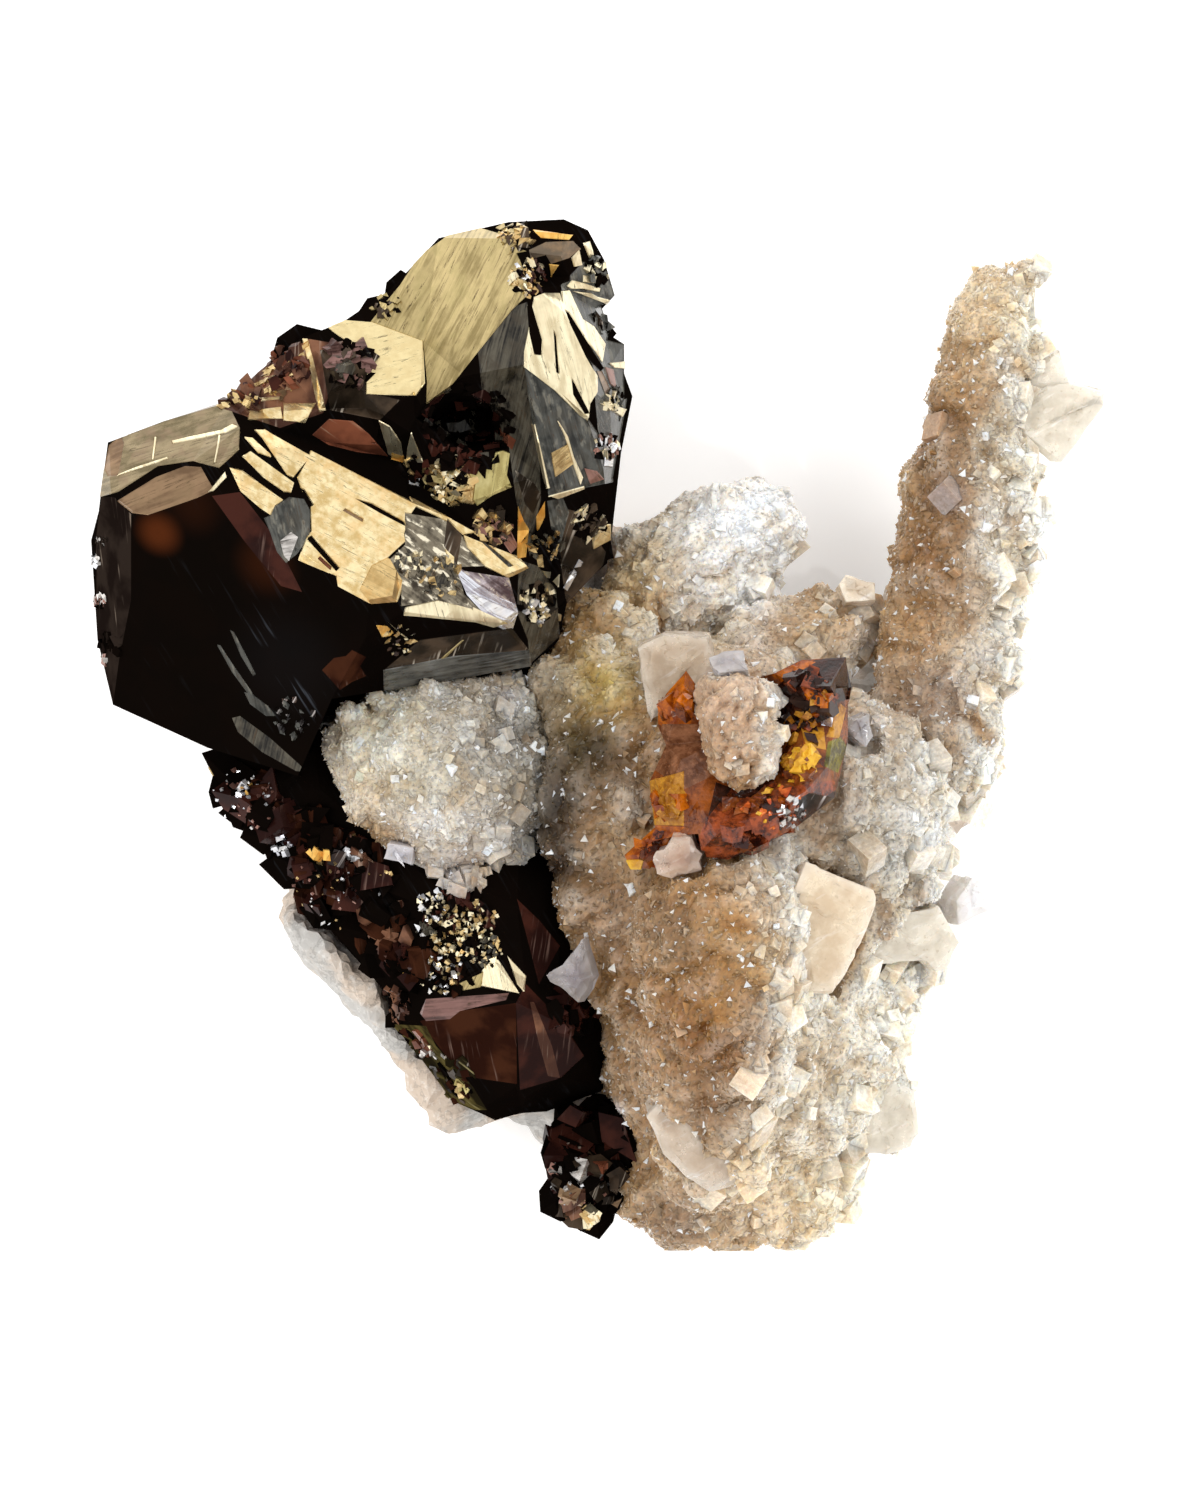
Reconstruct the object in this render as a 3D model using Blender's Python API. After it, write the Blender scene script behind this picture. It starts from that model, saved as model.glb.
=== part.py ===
# Sphalerite specimen: dark crystal groups, an amber crystal and calcite on druse-coated rock.
# All lengths in the tables are millimetres. The specimen lies on its back:
# +X runs right, +Y runs along the long arm, +Z points up to the viewer, z = 0 is the cut base.

import math
import random

import bpy
import bmesh
from mathutils import Euler, Matrix, Vector, noise
from mathutils.geometry import delaunay_2d_cdt

MM = 0.001
GAP = 0.3
DRUSE_GAP = 0.5
PLATE_TOP = 9.0
SEAT_LEFT = -3.0
DARK_BASE = 8.4
DRUSE_VOXEL = 1.05
CUTTER_VOXEL = 0.9
LOBE_SMOOTHING = 4
FINE_GRAIN = 0.42
FINE_SHARE = 0.6
WELD = 0.02
TIP_SHARE = 0.72
FOOT_SHARE = 0.62
SHARE_WOBBLE = 0.09
HULL_SCALE = 0.72
FAR = 90.0
SEED = 11

# Rings that close a group below its rim: scale of the outline, level from the base up to the rim
MAIN_RINGS = [(1.0, 0.84), (0.9, 0.5), (0.78, 0.0)]
LOWER_RINGS = [(1.0, 0.7), (0.9, 0.0)]
AMBER_RINGS = [(0.96, 0.35), (0.8, 0.0)]
RING_WOBBLE = 0.035

# Blocky crystals round the sides of the main group
SIDE_STEP = 2
SIDE_SHRINK = 0.72
SIDE_SIZE = 6.2
SIDE_LEVELS = (17.0, 21.0, 14.5)

# Druse lobes: triangles asked for, height of the lumps, width of the lumps, voxel, seed
DRUSE = {
    "quartz_ball": (440, 0.55, 2.6, DRUSE_VOXEL, 1.0),
    "quartz_knob": (300, 0.55, 2.6, DRUSE_VOXEL, 2.0),
    "quartz_egg": (200, 0.25, 1.6, 0.7, 3.0),
    "quartz_finger": (520, 0.55, 2.6, DRUSE_VOXEL, 4.0),
    "quartz_body": (1100, 0.55, 2.6, DRUSE_VOXEL, 6.0),
    "matrix_rock": (520, 0.7, 3.4, 1.3, 5.0),
}
# Small rhombs fused to a lobe: side of the lobe, count, spacing, sizes
STUDS = {
    "quartz_ball": [("upper", 10, 2.6, (1.0, 1.9))],
    "quartz_finger": [("right", 12, 3.2, (1.5, 2.5)), ("upper", 6, 4.0, (1.2, 2.0))],
    "quartz_body": [("right", 16, 3.6, (1.8, 2.8)), ("upper", 10, 5.0, (1.2, 2.0))],
}
STUD_LIFT = 0.12
RIGHT_SLOPE = 0.35
UPPER_SLOPE = 0.25
STUD_FLOOR = 9.0

# Main dark group, corner points: name: (x, y, z)
MAIN_RIM = [
    (-36.6, 22.5, 29.5), (-32.3, 24.0, 31.0), (-27.6, 25.3, 31.5), (-25.4, 27.8, 28.0),
    (-22.3, 30.2, 28.5), (-19.1, 31.5, 28.0), (-15.6, 34.0, 26.5), (-12.0, 37.7, 28.5),
    (-6.9, 38.8, 30.0), (-3.0, 38.8, 29.0), (-0.9, 38.3, 27.5), (0.3, 36.2, 26.5),
    (1.1, 33.6, 25.5), (-0.3, 32.6, 25.5), (0.6, 30.5, 24.5), (1.8, 30.0, 23.5),
    (1.8, 25.9, 22.5), (1.0, 21.8, 23.0), (0.7, 15.9, 21.5), (0.4, 13.7, 20.5),
    (-2.5, 10.6, 20.5), (-3.1, 7.9, 19.5), (-5.3, 5.9, 20.5), (-16.2, 4.1, 23.0),
    (-19.9, 3.4, 31.5), (-22.5, -2.3, 28.4), (-29.3, -0.2, 26.5), (-36.4, 3.0, 25.0),
    (-37.7, 7.9, 21.5), (-37.7, 15.4, 24.0), (-37.1, 18.5, 29.5),
]
MAIN_CENTRE = (-17.0, 17.0)
MAIN_POINTS = {
    # the great black face and its bevels
    "b1": (-34.6, 17.3, 32.5), "b2": (-29.1, 19.1, 35.7), "b3": (-28.1, 20.6, 36.9),
    "b4": (-26.6, 21.9, 36.8), "b5": (-22.5, 14.6, 37.0), "b6": (-20.0, 12.7, 36.8),
    "b7": (-17.0, 10.7, 36.6), "b9": (-17.3, 7.9, 35.0), "b10": (-35.9, 10.9, 28.9),
    "k2": (-26.3, 15.0, 35.0), "k3": (-22.5, 11.6, 35.0),
    "c1": (-30.0, 20.9, 36.0), "c2": (-32.6, 20.6, 34.7), "c3": (-36.2, 18.6, 31.8),
    "c4": (-30.2, 18.5, 34.9), "s1": (-25.7, 23.6, 34.8), "s2": (-26.7, 23.2, 35.6),
    # the main golden face
    "g1": (-21.8, 21.9, 33.9), "g2": (-14.0, 17.9, 32.9), "g3": (-14.9, 15.2, 34.3),
    "g5": (-15.0, 13.0, 35.1), "g6": (-15.3, 11.0, 36.0), "g8": (-21.8, 15.8, 36.3),
    "g9": (-22.1, 20.3, 34.6),
    # the dark trough behind it
    "t1": (-25.0, 24.6, 31.5), "t2": (-23.5, 23.2, 30.0), "t3": (-20.0, 22.5, 28.0),
    "t4": (-14.9, 21.2, 26.2), "t5": (-13.1, 19.2, 26.4), "t6": (-9.2, 16.0, 29.6),
    # shoulder, gold patch and lower faces
    "p1": (-10.3, 15.7, 30.8), "p2": (-5.5, 13.3, 28.6), "p3": (-7.0, 12.7, 29.4),
    "p4": (-9.4, 14.2, 31.2), "q1": (-10.9, 13.3, 32.4), "q2": (-9.5, 11.5, 31.8),
    "q3": (-6.4, 9.9, 28.6), "q4": (-6.7, 8.3, 27.0), "q5": (-7.4, 9.1, 28.8),
    "q6": (-11.5, 9.5, 31.8), "q7": (-14.6, 9.9, 33.8), "l1": (-5.6, 7.1, 24.5),
    "l2": (-10.9, 6.8, 26.0), "l3": (-16.0, 5.8, 27.5), "m2": (-4.6, 11.6, 25.5),
    "m3": (-4.2, 8.2, 24.0),
    # the second crystal, its apex and its faces
    "apex": (-6.0, 33.4, 36.0), "u1": (-14.9, 33.0, 27.8), "u2": (-10.1, 27.3, 33.0),
    "u3": (-13.3, 25.2, 30.0), "u4": (-13.1, 30.0, 29.0), "h1": (-6.9, 37.4, 33.0),
    "w2": (-6.6, 24.4, 26.8), "w3": (-4.4, 20.1, 26.2), "w4": (-5.6, 28.1, 35.4),
    "w5": (-3.8, 18.8, 31.0), "f1": (-4.8, 33.6, 35.0), "f2": (-2.7, 32.0, 32.4),
    "f3": (-0.5, 28.2, 30.4), "f4": (-0.3, 26.2, 30.4), "f5": (-0.9, 24.4, 30.8),
    "f6": (-2.9, 26.1, 32.8), "x1": (-2.9, 34.1, 31.0), "x2": (-2.1, 33.6, 30.0),
    "x3": (-1.6, 32.3, 29.4), "x4": (-0.2, 30.2, 27.8), "x5": (0.0, 28.7, 27.8),
    "x6": (-0.7, 23.6, 29.0), "y1": (0.3, 20.5, 26.4), "y2": (-1.2, 19.4, 27.2),
    "y3": (-2.4, 17.3, 26.4), "y4": (-3.2, 14.8, 25.2), "y5": (-1.3, 17.6, 25.4),
    "z1": (0.9, 28.4, 25.5), "z2": (0.8, 25.2, 26.5), "z3": (0.2, 22.9, 26.2),
    "v3": (-13.8, 26.3, 29.8), "v4": (-17.6, 26.3, 30.3), "v5": (-17.6, 29.4, 29.6),
    # cap of the second crystal
    "h2": (-5.4, 37.9, 33.6), "h3": (-2.3, 37.9, 31.8), "h4": (-1.4, 37.2, 31.2),
    "h5": (-2.9, 36.2, 32.4), "h6": (-5.2, 36.4, 33.6), "h7": (-2.3, 34.8, 30.4),
    "h8": (-4.0, 34.7, 30.6),
    # red-brown crystals and wedges between the two
    "a3": (-20.8, 24.9, 30.5), "a4": (-25.2, 25.7, 30.5), "a5": (-22.7, 27.2, 32.0),
    "a6": (-21.2, 29.3, 30.5), "a7": (-19.1, 25.1, 29.0), "a8": (-19.3, 27.6, 31.6),
    "a9": (-17.4, 25.0, 30.2), "a10": (-16.1, 22.3, 29.2), "a11": (-16.0, 24.4, 30.6),
    "a13": (-14.2, 23.3, 30.2), "a14": (-13.0, 21.4, 28.6),
    "o2": (-9.3, 21.5, 28.4), "o3": (-6.9, 22.0, 29.2), "o4": (-7.1, 19.3, 28.4),
    "o5": (-8.5, 18.5, 28.8), "o6": (-9.6, 18.1, 28.4), "n2": (-5.2, 15.8, 25.5),
    # the dark hollow
    "e1": (-13.7, 24.3, 29.4), "e2": (-11.3, 26.2, 30.6), "e3": (-7.8, 25.9, 28.6),
    "e5": (-10.7, 22.1, 27.8), "d1": (-12.2, 24.2, 21.5), "d2": (-10.6, 25.3, 20.5),
    "d3": (-8.2, 24.7, 20.5), "d4": (-8.0, 23.3, 21.5), "d5": (-10.6, 23.0, 21.5),
}
MAIN_FACES = [
    "b1 c4 b2 k2 k3 b9 r24 r25 r26 r27 b10",
    "b2 b3 b4 b5 b6 b7 b9 k3 k2",
    "c3 b1 c4 b2 b3 c1 c2",
    "r0 r1 r2 s2 b4 b3 c1 c2 c3 r30",
    "r30 c3 b1 b10 r29", "r29 b10 r27 r28",
    "s2 s1 g1 g9 g8 b6 b5 b4",
    "g1 g2 g3 g5 g6 b7 b6 g8 g9",
    "s1 t1 t2 t3 t4 t5 t6 g2 g1",
    "p1 t6 p2 p3 p4",
    "g2 t6 p1 p4 q1 q2 q5 q6 q7 g6 g5 g3",
    "p4 p3 q3 q5 q2 q1",
    "b7 g6 q7 l3 b9", "b9 l3 r23 r24", "q7 q6 l2 l3", "q6 q5 q4 l1 l2",
    "l3 l2 l1 r22 r23", "q3 q5 q4 l1 r22 r21 m3 m2 p2 p3",
    "y4 y5 r18 r19 r20", "w5 y2 y3 y4",
    "w4 f6 f5 x6 y1 y2 w5", "apex f1 f2 f3 f4 f5 f6 w4",
    "x1 x2 x3 x4 x5 f3 f2", "x2 r13 r14 x4 x3",
    "apex w4 w5 w3 w2 e3 u2", "r7 h1 apex u2 u3 u4 u1", "r5 u1 u4 u3 v3 v4 v5",
    "h2 h3 h4 h5 h6", "h4 r10 r11 r12 r13 x2 h7 h5",
    "r3 r4 a5 a4", "r4 a6 a3 a5", "a5 a3 a4", "t2 a3 a9 a10 t3",
    "a11 a13 t4 a10", "a13 a14 t4", "o2 o3 o4 o5 o6", "a14 o2 o6 t5 t4",
    "d1 d2 d3 d4 d5", "e1 e2 d2 d1", "e2 e3 d3 d2", "e5 e1 d1 d5",
]

# Lower dark group, in the same form
LOWER_RIM = [
    (-30.0, -0.6, 19.0), (-28.4, -3.8, 18.5), (-27.7, -6.2, 17.5), (-26.6, -6.6, 17.5),
    (-24.8, -8.0, 17.0), (-23.5, -9.3, 16.5), (-23.1, -10.6, 15.5), (-20.3, -13.9, 15.5),
    (-17.3, -17.3, 15.5), (-15.8, -19.1, 16.0), (-15.8, -20.9, 15.5), (-14.3, -22.7, 14.5),
    (-11.2, -27.0, 13.5), (-8.0, -28.4, 13.0), (-5.9, -27.9, 13.5), (-4.3, -27.3, 14.0),
    (0.0, -25.9, 14.5), (1.5, -20.6, 16.0), (0.5, -14.0, 17.0), (-2.0, -9.0, 17.5),
    (-6.0, -5.0, 18.0), (-14.0, -1.0, 18.0), (-22.0, 2.0, 18.0),
]
LOWER_CENTRE = (-12.0, -12.0)
LOWER_POINTS = {
    "i1": (-27.0, -3.4, 20.5), "i2": (-23.3, -5.6, 21.5), "i3": (-21.0, -8.8, 20.5),
    "i4": (-18.2, -10.1, 22.5), "i5": (-16.4, -7.0, 22.5), "i6": (-14.3, -11.6, 23.8),
    "i7": (-11.3, -11.4, 24.8), "i8": (-9.0, -10.6, 24.0), "i9": (-25.6, -5.6, 20.8),
    "j1": (-14.6, -15.0, 22.8), "j2": (-11.0, -15.2, 25.2), "j3": (-12.8, -18.0, 23.4),
    "gt1": (-8.0, -16.1, 25.6), "gt2": (-5.6, -17.4, 25.2), "gt3": (-5.9, -18.6, 26.6),
    "gt4": (-9.0, -18.1, 26.0), "gs1": (-9.3, -13.1, 25.6), "gs2": (-7.8, -14.4, 25.8),
    "td1": (-6.2, -12.1, 24.6), "td2": (-4.6, -13.2, 23.6), "td3": (-3.1, -15.1, 22.6),
    "td4": (-4.7, -17.6, 24.6), "bl1": (-13.4, -20.6, 23.6), "bl2": (-10.5, -19.8, 25.6),
    "bl3": (-6.2, -19.2, 27.0), "bl4": (-6.3, -25.6, 22.6), "bl5": (-10.3, -24.8, 21.6),
    "br2": (-2.9, -20.9, 24.4), "br3": (-1.2, -23.3, 21.6),
    "br4": (-2.9, -24.9, 21.2), "br5": (-5.6, -26.4, 21.6), "as2": (-8.6, -27.2, 17.5),
    "k1": (-18.5, -13.4, 18.6), "k2": (-16.2, -17.0, 19.4), "k3": (-21.0, -3.4, 22.0),
}
LOWER_FACES = [
    "bl1 bl2 bl3 bl4 bl5", "bl3 br2 br3 br4 br5 bl4", "gt1 gt2 gt3 gt4",
    "td1 td2 td3 td4", "r10 bl1 bl5 as2 r12 r11", "gs1 gs2 gt1 j2",
]

# Crystals that grow from the dark groups: (x, y, z), size, lean, turn, stretch
MAIN_CRYSTALS = [
    ((-34.5, 14.6, 23.6), 4.0, 80, 160, 1.0), ((-21.8, 28.4, 26.5), 3.8, 50, 120, 1.0),
    ((-14.0, 33.0, 24.5), 3.2, 60, 120, 1.0), ((-16.9, 23.8, 27.6), 2.6, 30, 60, 1.0),
    ((-19.4, 26.9, 28.8), 3.0, 20, 200, 1.0), ((-6.6, 16.4, 25.2), 2.6, 25, 300, 1.2),
    ((-3.6, 12.9, 23.4), 2.4, 30, 340, 1.1), ((-3.9, 10.9, 22.6), 2.4, 35, 10, 1.0),
    ((-0.6, 30.6, 22.6), 2.4, 60, 20, 1.0), ((-0.4, 24.6, 21.6), 2.6, 70, 0, 1.0),
]
LOWER_CRYSTALS = [
    ((-27.2, -2.8, 17.6), 3.2, 60, 220, 1.0), ((-24.8, -5.6, 18.4), 3.2, 40, 230, 1.0),
    ((-21.6, -8.0, 19.0), 3.4, 30, 250, 1.0), ((-18.4, -9.4, 20.2), 3.0, 25, 200, 1.0),
    ((-13.0, -13.2, 21.6), 3.0, 20, 200, 1.0), ((-10.6, -13.6, 22.8), 2.6, 20, 320, 1.0),
    ((-13.6, -17.0, 20.4), 2.8, 40, 210, 1.0), ((-10.6, -17.2, 22.6), 2.6, 20, 130, 1.0),
    ((-20.4, -11.8, 16.4), 3.0, 60, 215, 1.0), ((-16.2, -15.6, 17.4), 3.0, 60, 220, 1.0),
    ((-15.6, -11.2, 20.6), 2.6, 20, 80, 1.0), ((-23.6, -3.6, 19.6), 3.0, 30, 100, 1.0),
]
FOOT_CRYSTALS = [
    ((-1.6, -31.0, 12.6), 4.2, 20, 230, 1.1), ((1.0, -30.4, 12.2), 3.8, 15, 60, 1.0),
    ((-2.2, -33.6, 11.2), 3.4, 50, 230, 1.1), ((1.4, -33.6, 11.2), 3.4, 50, 300, 1.1),
    ((-0.4, -34.8, 10.6), 3.0, 60, 265, 1.1), ((-0.6, -28.6, 12.6), 3.2, 30, 170, 1.0),
]
# Amber group, in the same form as the dark ones
AMBER_BASE = 27.4
AMBER_CENTRE = (10.0, -1.0)
AMBER_RIM = [
    (6.4, 5.5, 31.5), (7.4, 4.0, 31.0), (10.9, 4.8, 30.0), (12.9, 5.3, 31.5), (14.9, 6.3, 32.0),
    (18.2, 6.5, 32.5), (18.7, 4.3, 31.5), (18.4, 2.9, 30.5), (18.4, 0.0, 30.0), (17.9, -1.9, 30.0),
    (17.4, -3.9, 30.5), (14.3, -6.3, 31.0), (12.0, -7.5, 31.5), (9.5, -8.5, 32.0), (7.1, -8.2, 32.0),
    (5.6, -6.7, 31.0), (3.7, -9.2, 29.8), (2.3, -9.2, 29.2), (1.8, -8.2, 29.2), (4.1, -6.1, 30.0),
    (3.7, -2.7, 29.2), (4.9, 0.0, 29.6), (4.3, 1.4, 29.8), (4.3, 2.6, 30.2), (4.9, 3.8, 31.0),
]
AMBER_POINTS = {
    "i1": (6.0, 3.2, 33.6), "i2": (6.0, -1.1, 31.4), "i3": (7.2, -4.1, 33.0),
    "i4": (5.0, -4.1, 31.6), "i5": (9.8, -4.1, 32.6), "i6": (8.6, -6.6, 34.6),
    "i7": (12.2, -5.3, 35.0), "i8": (15.2, -3.4, 34.6), "i9": (12.8, -1.9, 32.2),
    "i10": (15.0, -0.4, 34.6), "i11": (16.9, -1.5, 32.8), "i12": (17.3, 1.1, 32.8),
    "i13": (15.0, 2.3, 32.2), "i14": (16.6, 4.1, 35.0), "i15": (14.4, 4.5, 34.0),
    "i16": (9.0, 0.4, 30.8), "i17": (3.2, -8.2, 30.8),
}
AMBER_FACES = ["r13 i6 i7 r11 r12", "i7 i8 r10 r11", "i5 i9 i8 i7 i6", "i14 i15 r4 r5"]

# Druse lobes as balls: (x, y, z), radius
BODY_BALLS = [
    ((9.0, -14.0, 28.0), 6.6), ((9.0, -19.2, 27.6), 6.2), ((9.5, -7.0, 22.5), 6.6), ((8.7, -24.0, 26.0), 5.8),
    ((8.3, -29.0, 23.5), 4.6), ((7.8, -32.3, 21.5), 3.2),
    ((10.0, -12.0, 17.0), 12.0), ((11.0, -22.0, 14.5), 11.5),
    ((0.5, -4.0, 21.0), 6.0), ((0.5, -11.6, 20.5), 4.8), ((1.8, -17.0, 20.0), 3.6),
    ((-0.8, 3.4, 18.0), 5.0), ((1.8, 0.4, 20.0), 6.5), ((0.4, 7.2, 15.5), 5.0),
    ((10.0, -1.0, 21.0), 8.5), ((18.8, -3.6, 20.0), 7.6), ((19.6, -11.6, 16.0), 6.4),
    ((18.6, -19.0, 13.5), 5.8), ((17.6, -26.6, 12.5), 5.2), ((21.8, -6.0, 14.0), 4.6),
    ((7.5, -34.2, 13.5), 4.4), ((14.2, -33.4, 12.5), 5.0), ((10.5, -33.2, 12.5), 5.2),
    ((12.0, 7.0, 16.5), 4.0), ((15.0, 7.3, 15.0), 4.0), ((17.6, 8.8, 15.0), 3.6),
    ((4.8, -26.4, 17.5), 3.6), ((5.4, -33.8, 14.0), 4.0),
]
FINGER_BALLS = [
    ((24.8, 0.6, 15.5), 5.6), ((25.9, 7.6, 16.5), 5.2), ((26.9, 13.6, 17.0), 5.3),
    ((27.5, 19.0, 17.0), 5.0), ((28.5, 25.0, 16.8), 4.2), ((29.6, 30.4, 16.4), 3.5),
    ((30.3, 34.0, 16.0), 2.7),
]
BALL_BALLS = [
    ((-11.6, -2.4, 20.5), 7.4), ((-16.6, -1.0, 21.0), 4.2), ((-15.4, -4.6, 20.0), 4.2),
    ((-9.5, -6.6, 20.0), 4.0), ((-5.6, -1.6, 18.5), 4.2), ((-9.0, 2.0, 19.0), 4.2),
    ((-14.0, 2.2, 18.8), 4.0), ((-11.0, -3.0, 14.0), 7.0),
]
KNOB_BALLS = [
    ((5.2, 12.8, 12.5), 5.0), ((9.4, 15.6, 12.5), 4.9), ((11.6, 16.4, 12.5), 4.0),
    ((4.0, 9.6, 13.0), 4.2), ((9.2, 11.8, 12.0), 4.4), ((6.4, 10.0, 9.5), 5.2),
]
EGG_BALLS = [((10.2, 2.6, 33.4), 3.3), ((10.4, 0.4, 33.4), 3.2), ((10.9, -1.6, 33.0), 2.2)]
PLATE_BALLS = [
    ((-27.0, 10.0, 4.0), 9.5), ((-16.0, 20.0, 4.0), 10.0), ((-8.0, 30.0, 4.0), 6.5),
    ((-16.0, 2.0, 4.0), 11.0), ((-12.0, -12.0, 4.5), 10.5), ((-14.5, -17.5, 9.0), 6.2),
    ((-17.6, -13.6, 9.0), 5.6), ((-8.0, -23.5, 7.5), 6.4), ((-9.2, -25.0, 8.0), 5.2),
    ((0.0, -8.0, 4.0), 12.0), ((0.0, 12.0, 4.0), 9.0), ((8.0, 10.0, 2.0), 6.0),
    ((10.0, -12.0, 4.0), 12.0), ((9.0, -26.0, 4.0), 8.0), ((1.0, -28.0, 3.0), 6.5),
    ((22.0, -2.0, 3.0), 7.5), ((25.0, 8.0, 3.5), 5.0), ((26.5, 16.0, 5.0), 4.2),
    ((18.0, -18.0, 3.0), 7.0),
]

# Calcite crystals: name, centre of the front face, its two edges, and the edge that goes down
CALCITES = [
    ("calcite_large", (17.4, -13.6, 28.6), (5.2, -2.3, -2.2), (-2.4, -7.6, -1.2), (-1.2, -0.4, -5.6)),
    ("calcite_seat", (6.4, 6.2, 27.2), (6.2, 1.2, -0.3), (1.0, -5.0, -0.8), (0.2, 0.4, -4.0)),
    ("calcite_right", (23.4, -14.8, 20.6), (5.2, 0.6, -1.4), (-0.8, -4.0, -1.0), (-1.2, 0.4, -4.0)),
    ("calcite_tablet", (27.6, -10.6, 18.6), (2.2, 0.5, -0.8), (-0.2, -2.7, -0.5), (-1.3, 0.2, -2.6)),
    ("calcite_blade", (7.0, -30.7, 27.0), (6.0, -3.8, -2.2), (-1.6, -2.6, -1.2), (-0.2, 1.0, -3.0)),
    ("calcite_fan", (17.0, -27.2, 18.6), (3.8, -0.8, -1.2), (-0.6, -3.8, -1.0), (-0.6, 0.6, -3.2)),
    ("calcite_edge", (21.9, -29.1, 15.4), (3.8, 0.4, -1.4), (-0.8, -3.4, -0.6), (-1.8, 0.6, -2.8)),
    ("calcite_wing", (-2.4, -17.0, 26.0), (2.8, 2.7, 0.5), (0.4, -2.6, -0.4), (1.4, 0.2, -1.8)),
    ("calcite_fin", (33.0, 23.6, 18.4), (6.4, 0.2, -0.4), (-3.3, -4.8, 0.2), (0.2, 0.3, -1.8)),
    ("calcite_thorn", (33.6, 28.2, 17.6), (3.2, 1.4, -0.3), (0.8, -2.2, 0.2), (-0.3, 0.2, -1.5)),
    ("calcite_cap", (9.7, 6.0, 35.2), (2.7, 0.1, 0.2), (0.3, -1.5, 0.9), (0.1, -0.6, -1.8)),
    ("calcite_pink", (5.9, -8.6, 32.4), (3.2, 0.9, -0.3), (0.6, -2.6, -1.0), (0.2, 0.4, -3.0)),
    ("calcite_lilac", (19.9, 0.6, 27.6), (2.0, 0.5, -0.6), (0.4, -3.4, -0.2), (-0.6, 0.1, -2.6)),
    ("calcite_corner", (-15.2, -8.1, 25.3), (2.2, -0.3, 0.0), (0.5, -1.6, -0.2), (0.2, 0.3, -1.5)),
    ("calcite_crest", (19.0, 11.4, 18.8), (2.6, 0.6, -0.3), (0.6, -2.2, 0.6), (-0.2, -0.4, -2.6)),
]
FAR_CALCITES = ("calcite_fin", "calcite_thorn", "calcite_corner")
RHOMB_ANGLE = 75.0


def clear_scene():
    for old in list(bpy.data.objects):
        bpy.data.objects.remove(old, do_unlink=True)


def material(name, colour, roughness, metallic=0.0, transmission=0.0, ior=1.5):
    made = bpy.data.materials.new(name)
    made.use_nodes = True
    shader = made.node_tree.nodes["Principled BSDF"]
    shader.inputs["Base Color"].default_value = (*colour, 1.0)
    shader.inputs["Roughness"].default_value = roughness
    shader.inputs["Metallic"].default_value = metallic
    shader.inputs["Transmission Weight"].default_value = transmission
    shader.inputs["IOR"].default_value = ior
    return made


def new_object(name, bm, finish=None):
    """Turn a bmesh in millimetres into an object in metres."""
    bmesh.ops.scale(bm, vec=(MM, MM, MM), verts=bm.verts)
    bmesh.ops.recalc_face_normals(bm, faces=bm.faces)
    mesh = bpy.data.meshes.new(name)
    bm.to_mesh(mesh)
    bm.free()
    made = bpy.data.objects.new(name, mesh)
    bpy.context.scene.collection.objects.link(made)
    if finish:
        mesh.materials.append(finish)
    return made


def settle(obj):
    """Replace an object's mesh by its evaluated mesh and drop the modifiers."""
    bpy.context.view_layer.update()
    depsgraph = bpy.context.evaluated_depsgraph_get()
    mesh = bpy.data.meshes.new_from_object(obj.evaluated_get(depsgraph))
    old = obj.data
    obj.modifiers.clear()
    obj.data = mesh
    bpy.data.meshes.remove(old)


def measured(mesh):
    """The volume of a mesh in cubic millimetres, or None where it isn't closed."""
    bm = bmesh.new()
    bm.from_mesh(mesh)
    closed = len(bm.faces) > 0 and all(edge.is_manifold for edge in bm.edges)
    volume = bm.calc_volume(signed=True) / MM ** 3
    bm.free()
    return volume if closed else None


def boolean(obj, other, operation, solver):
    """Apply one Boolean, and say whether the result is closed and of a likely volume."""
    own = measured(obj.data) or 0.0
    extra = measured(other.data) or 0.0
    cut = obj.modifiers.new("combine", "BOOLEAN")
    cut.operation = operation
    cut.solver = solver
    cut.object = other
    settle(obj)
    volume = measured(obj.data)
    if volume is None:
        return False
    if operation == "UNION":
        return max(own, extra) * 0.98 <= volume <= (own + extra) * 1.01
    return (own - extra) * 0.98 <= volume <= own * 1.005


def combine(obj, other, operation):
    """Boolean an object with another; where the exact solver fails, use the manifold one."""
    whole = obj.data.copy()
    for solver in ("EXACT", "MANIFOLD"):
        if boolean(obj, other, operation, solver):
            return True
        obj.data = whole.copy()
    return False


def largest_piece(obj):
    """Keep the largest connected piece of a mesh."""
    bm = bmesh.new()
    bm.from_mesh(obj.data)
    left = set(bm.verts)
    pieces = []
    while left:
        stack = [left.pop()]
        piece = set(stack)
        while stack:
            vert = stack.pop()
            for edge in vert.link_edges:
                other = edge.other_vert(vert)
                if other in left:
                    left.discard(other)
                    piece.add(other)
                    stack.append(other)
        pieces.append(piece)
    pieces.sort(key=len)
    spare = [vert for piece in pieces[:-1] for vert in piece]
    bmesh.ops.delete(bm, geom=spare, context="VERTS")
    bm.to_mesh(obj.data)
    bm.free()


def tidy(obj):
    """Leave only triangles, and weld tiny edges where the mesh stays closed."""
    bm = bmesh.new()
    bm.from_mesh(obj.data)
    bmesh.ops.triangulate(bm, faces=bm.faces)
    bm.to_mesh(obj.data)
    bmesh.ops.remove_doubles(bm, verts=bm.verts, dist=WELD * MM)
    bmesh.ops.dissolve_degenerate(bm, edges=bm.edges, dist=WELD * MM)
    bmesh.ops.triangulate(bm, faces=bm.faces)
    if all(edge.is_manifold for edge in bm.edges):
        bm.to_mesh(obj.data)
    bm.free()


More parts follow.
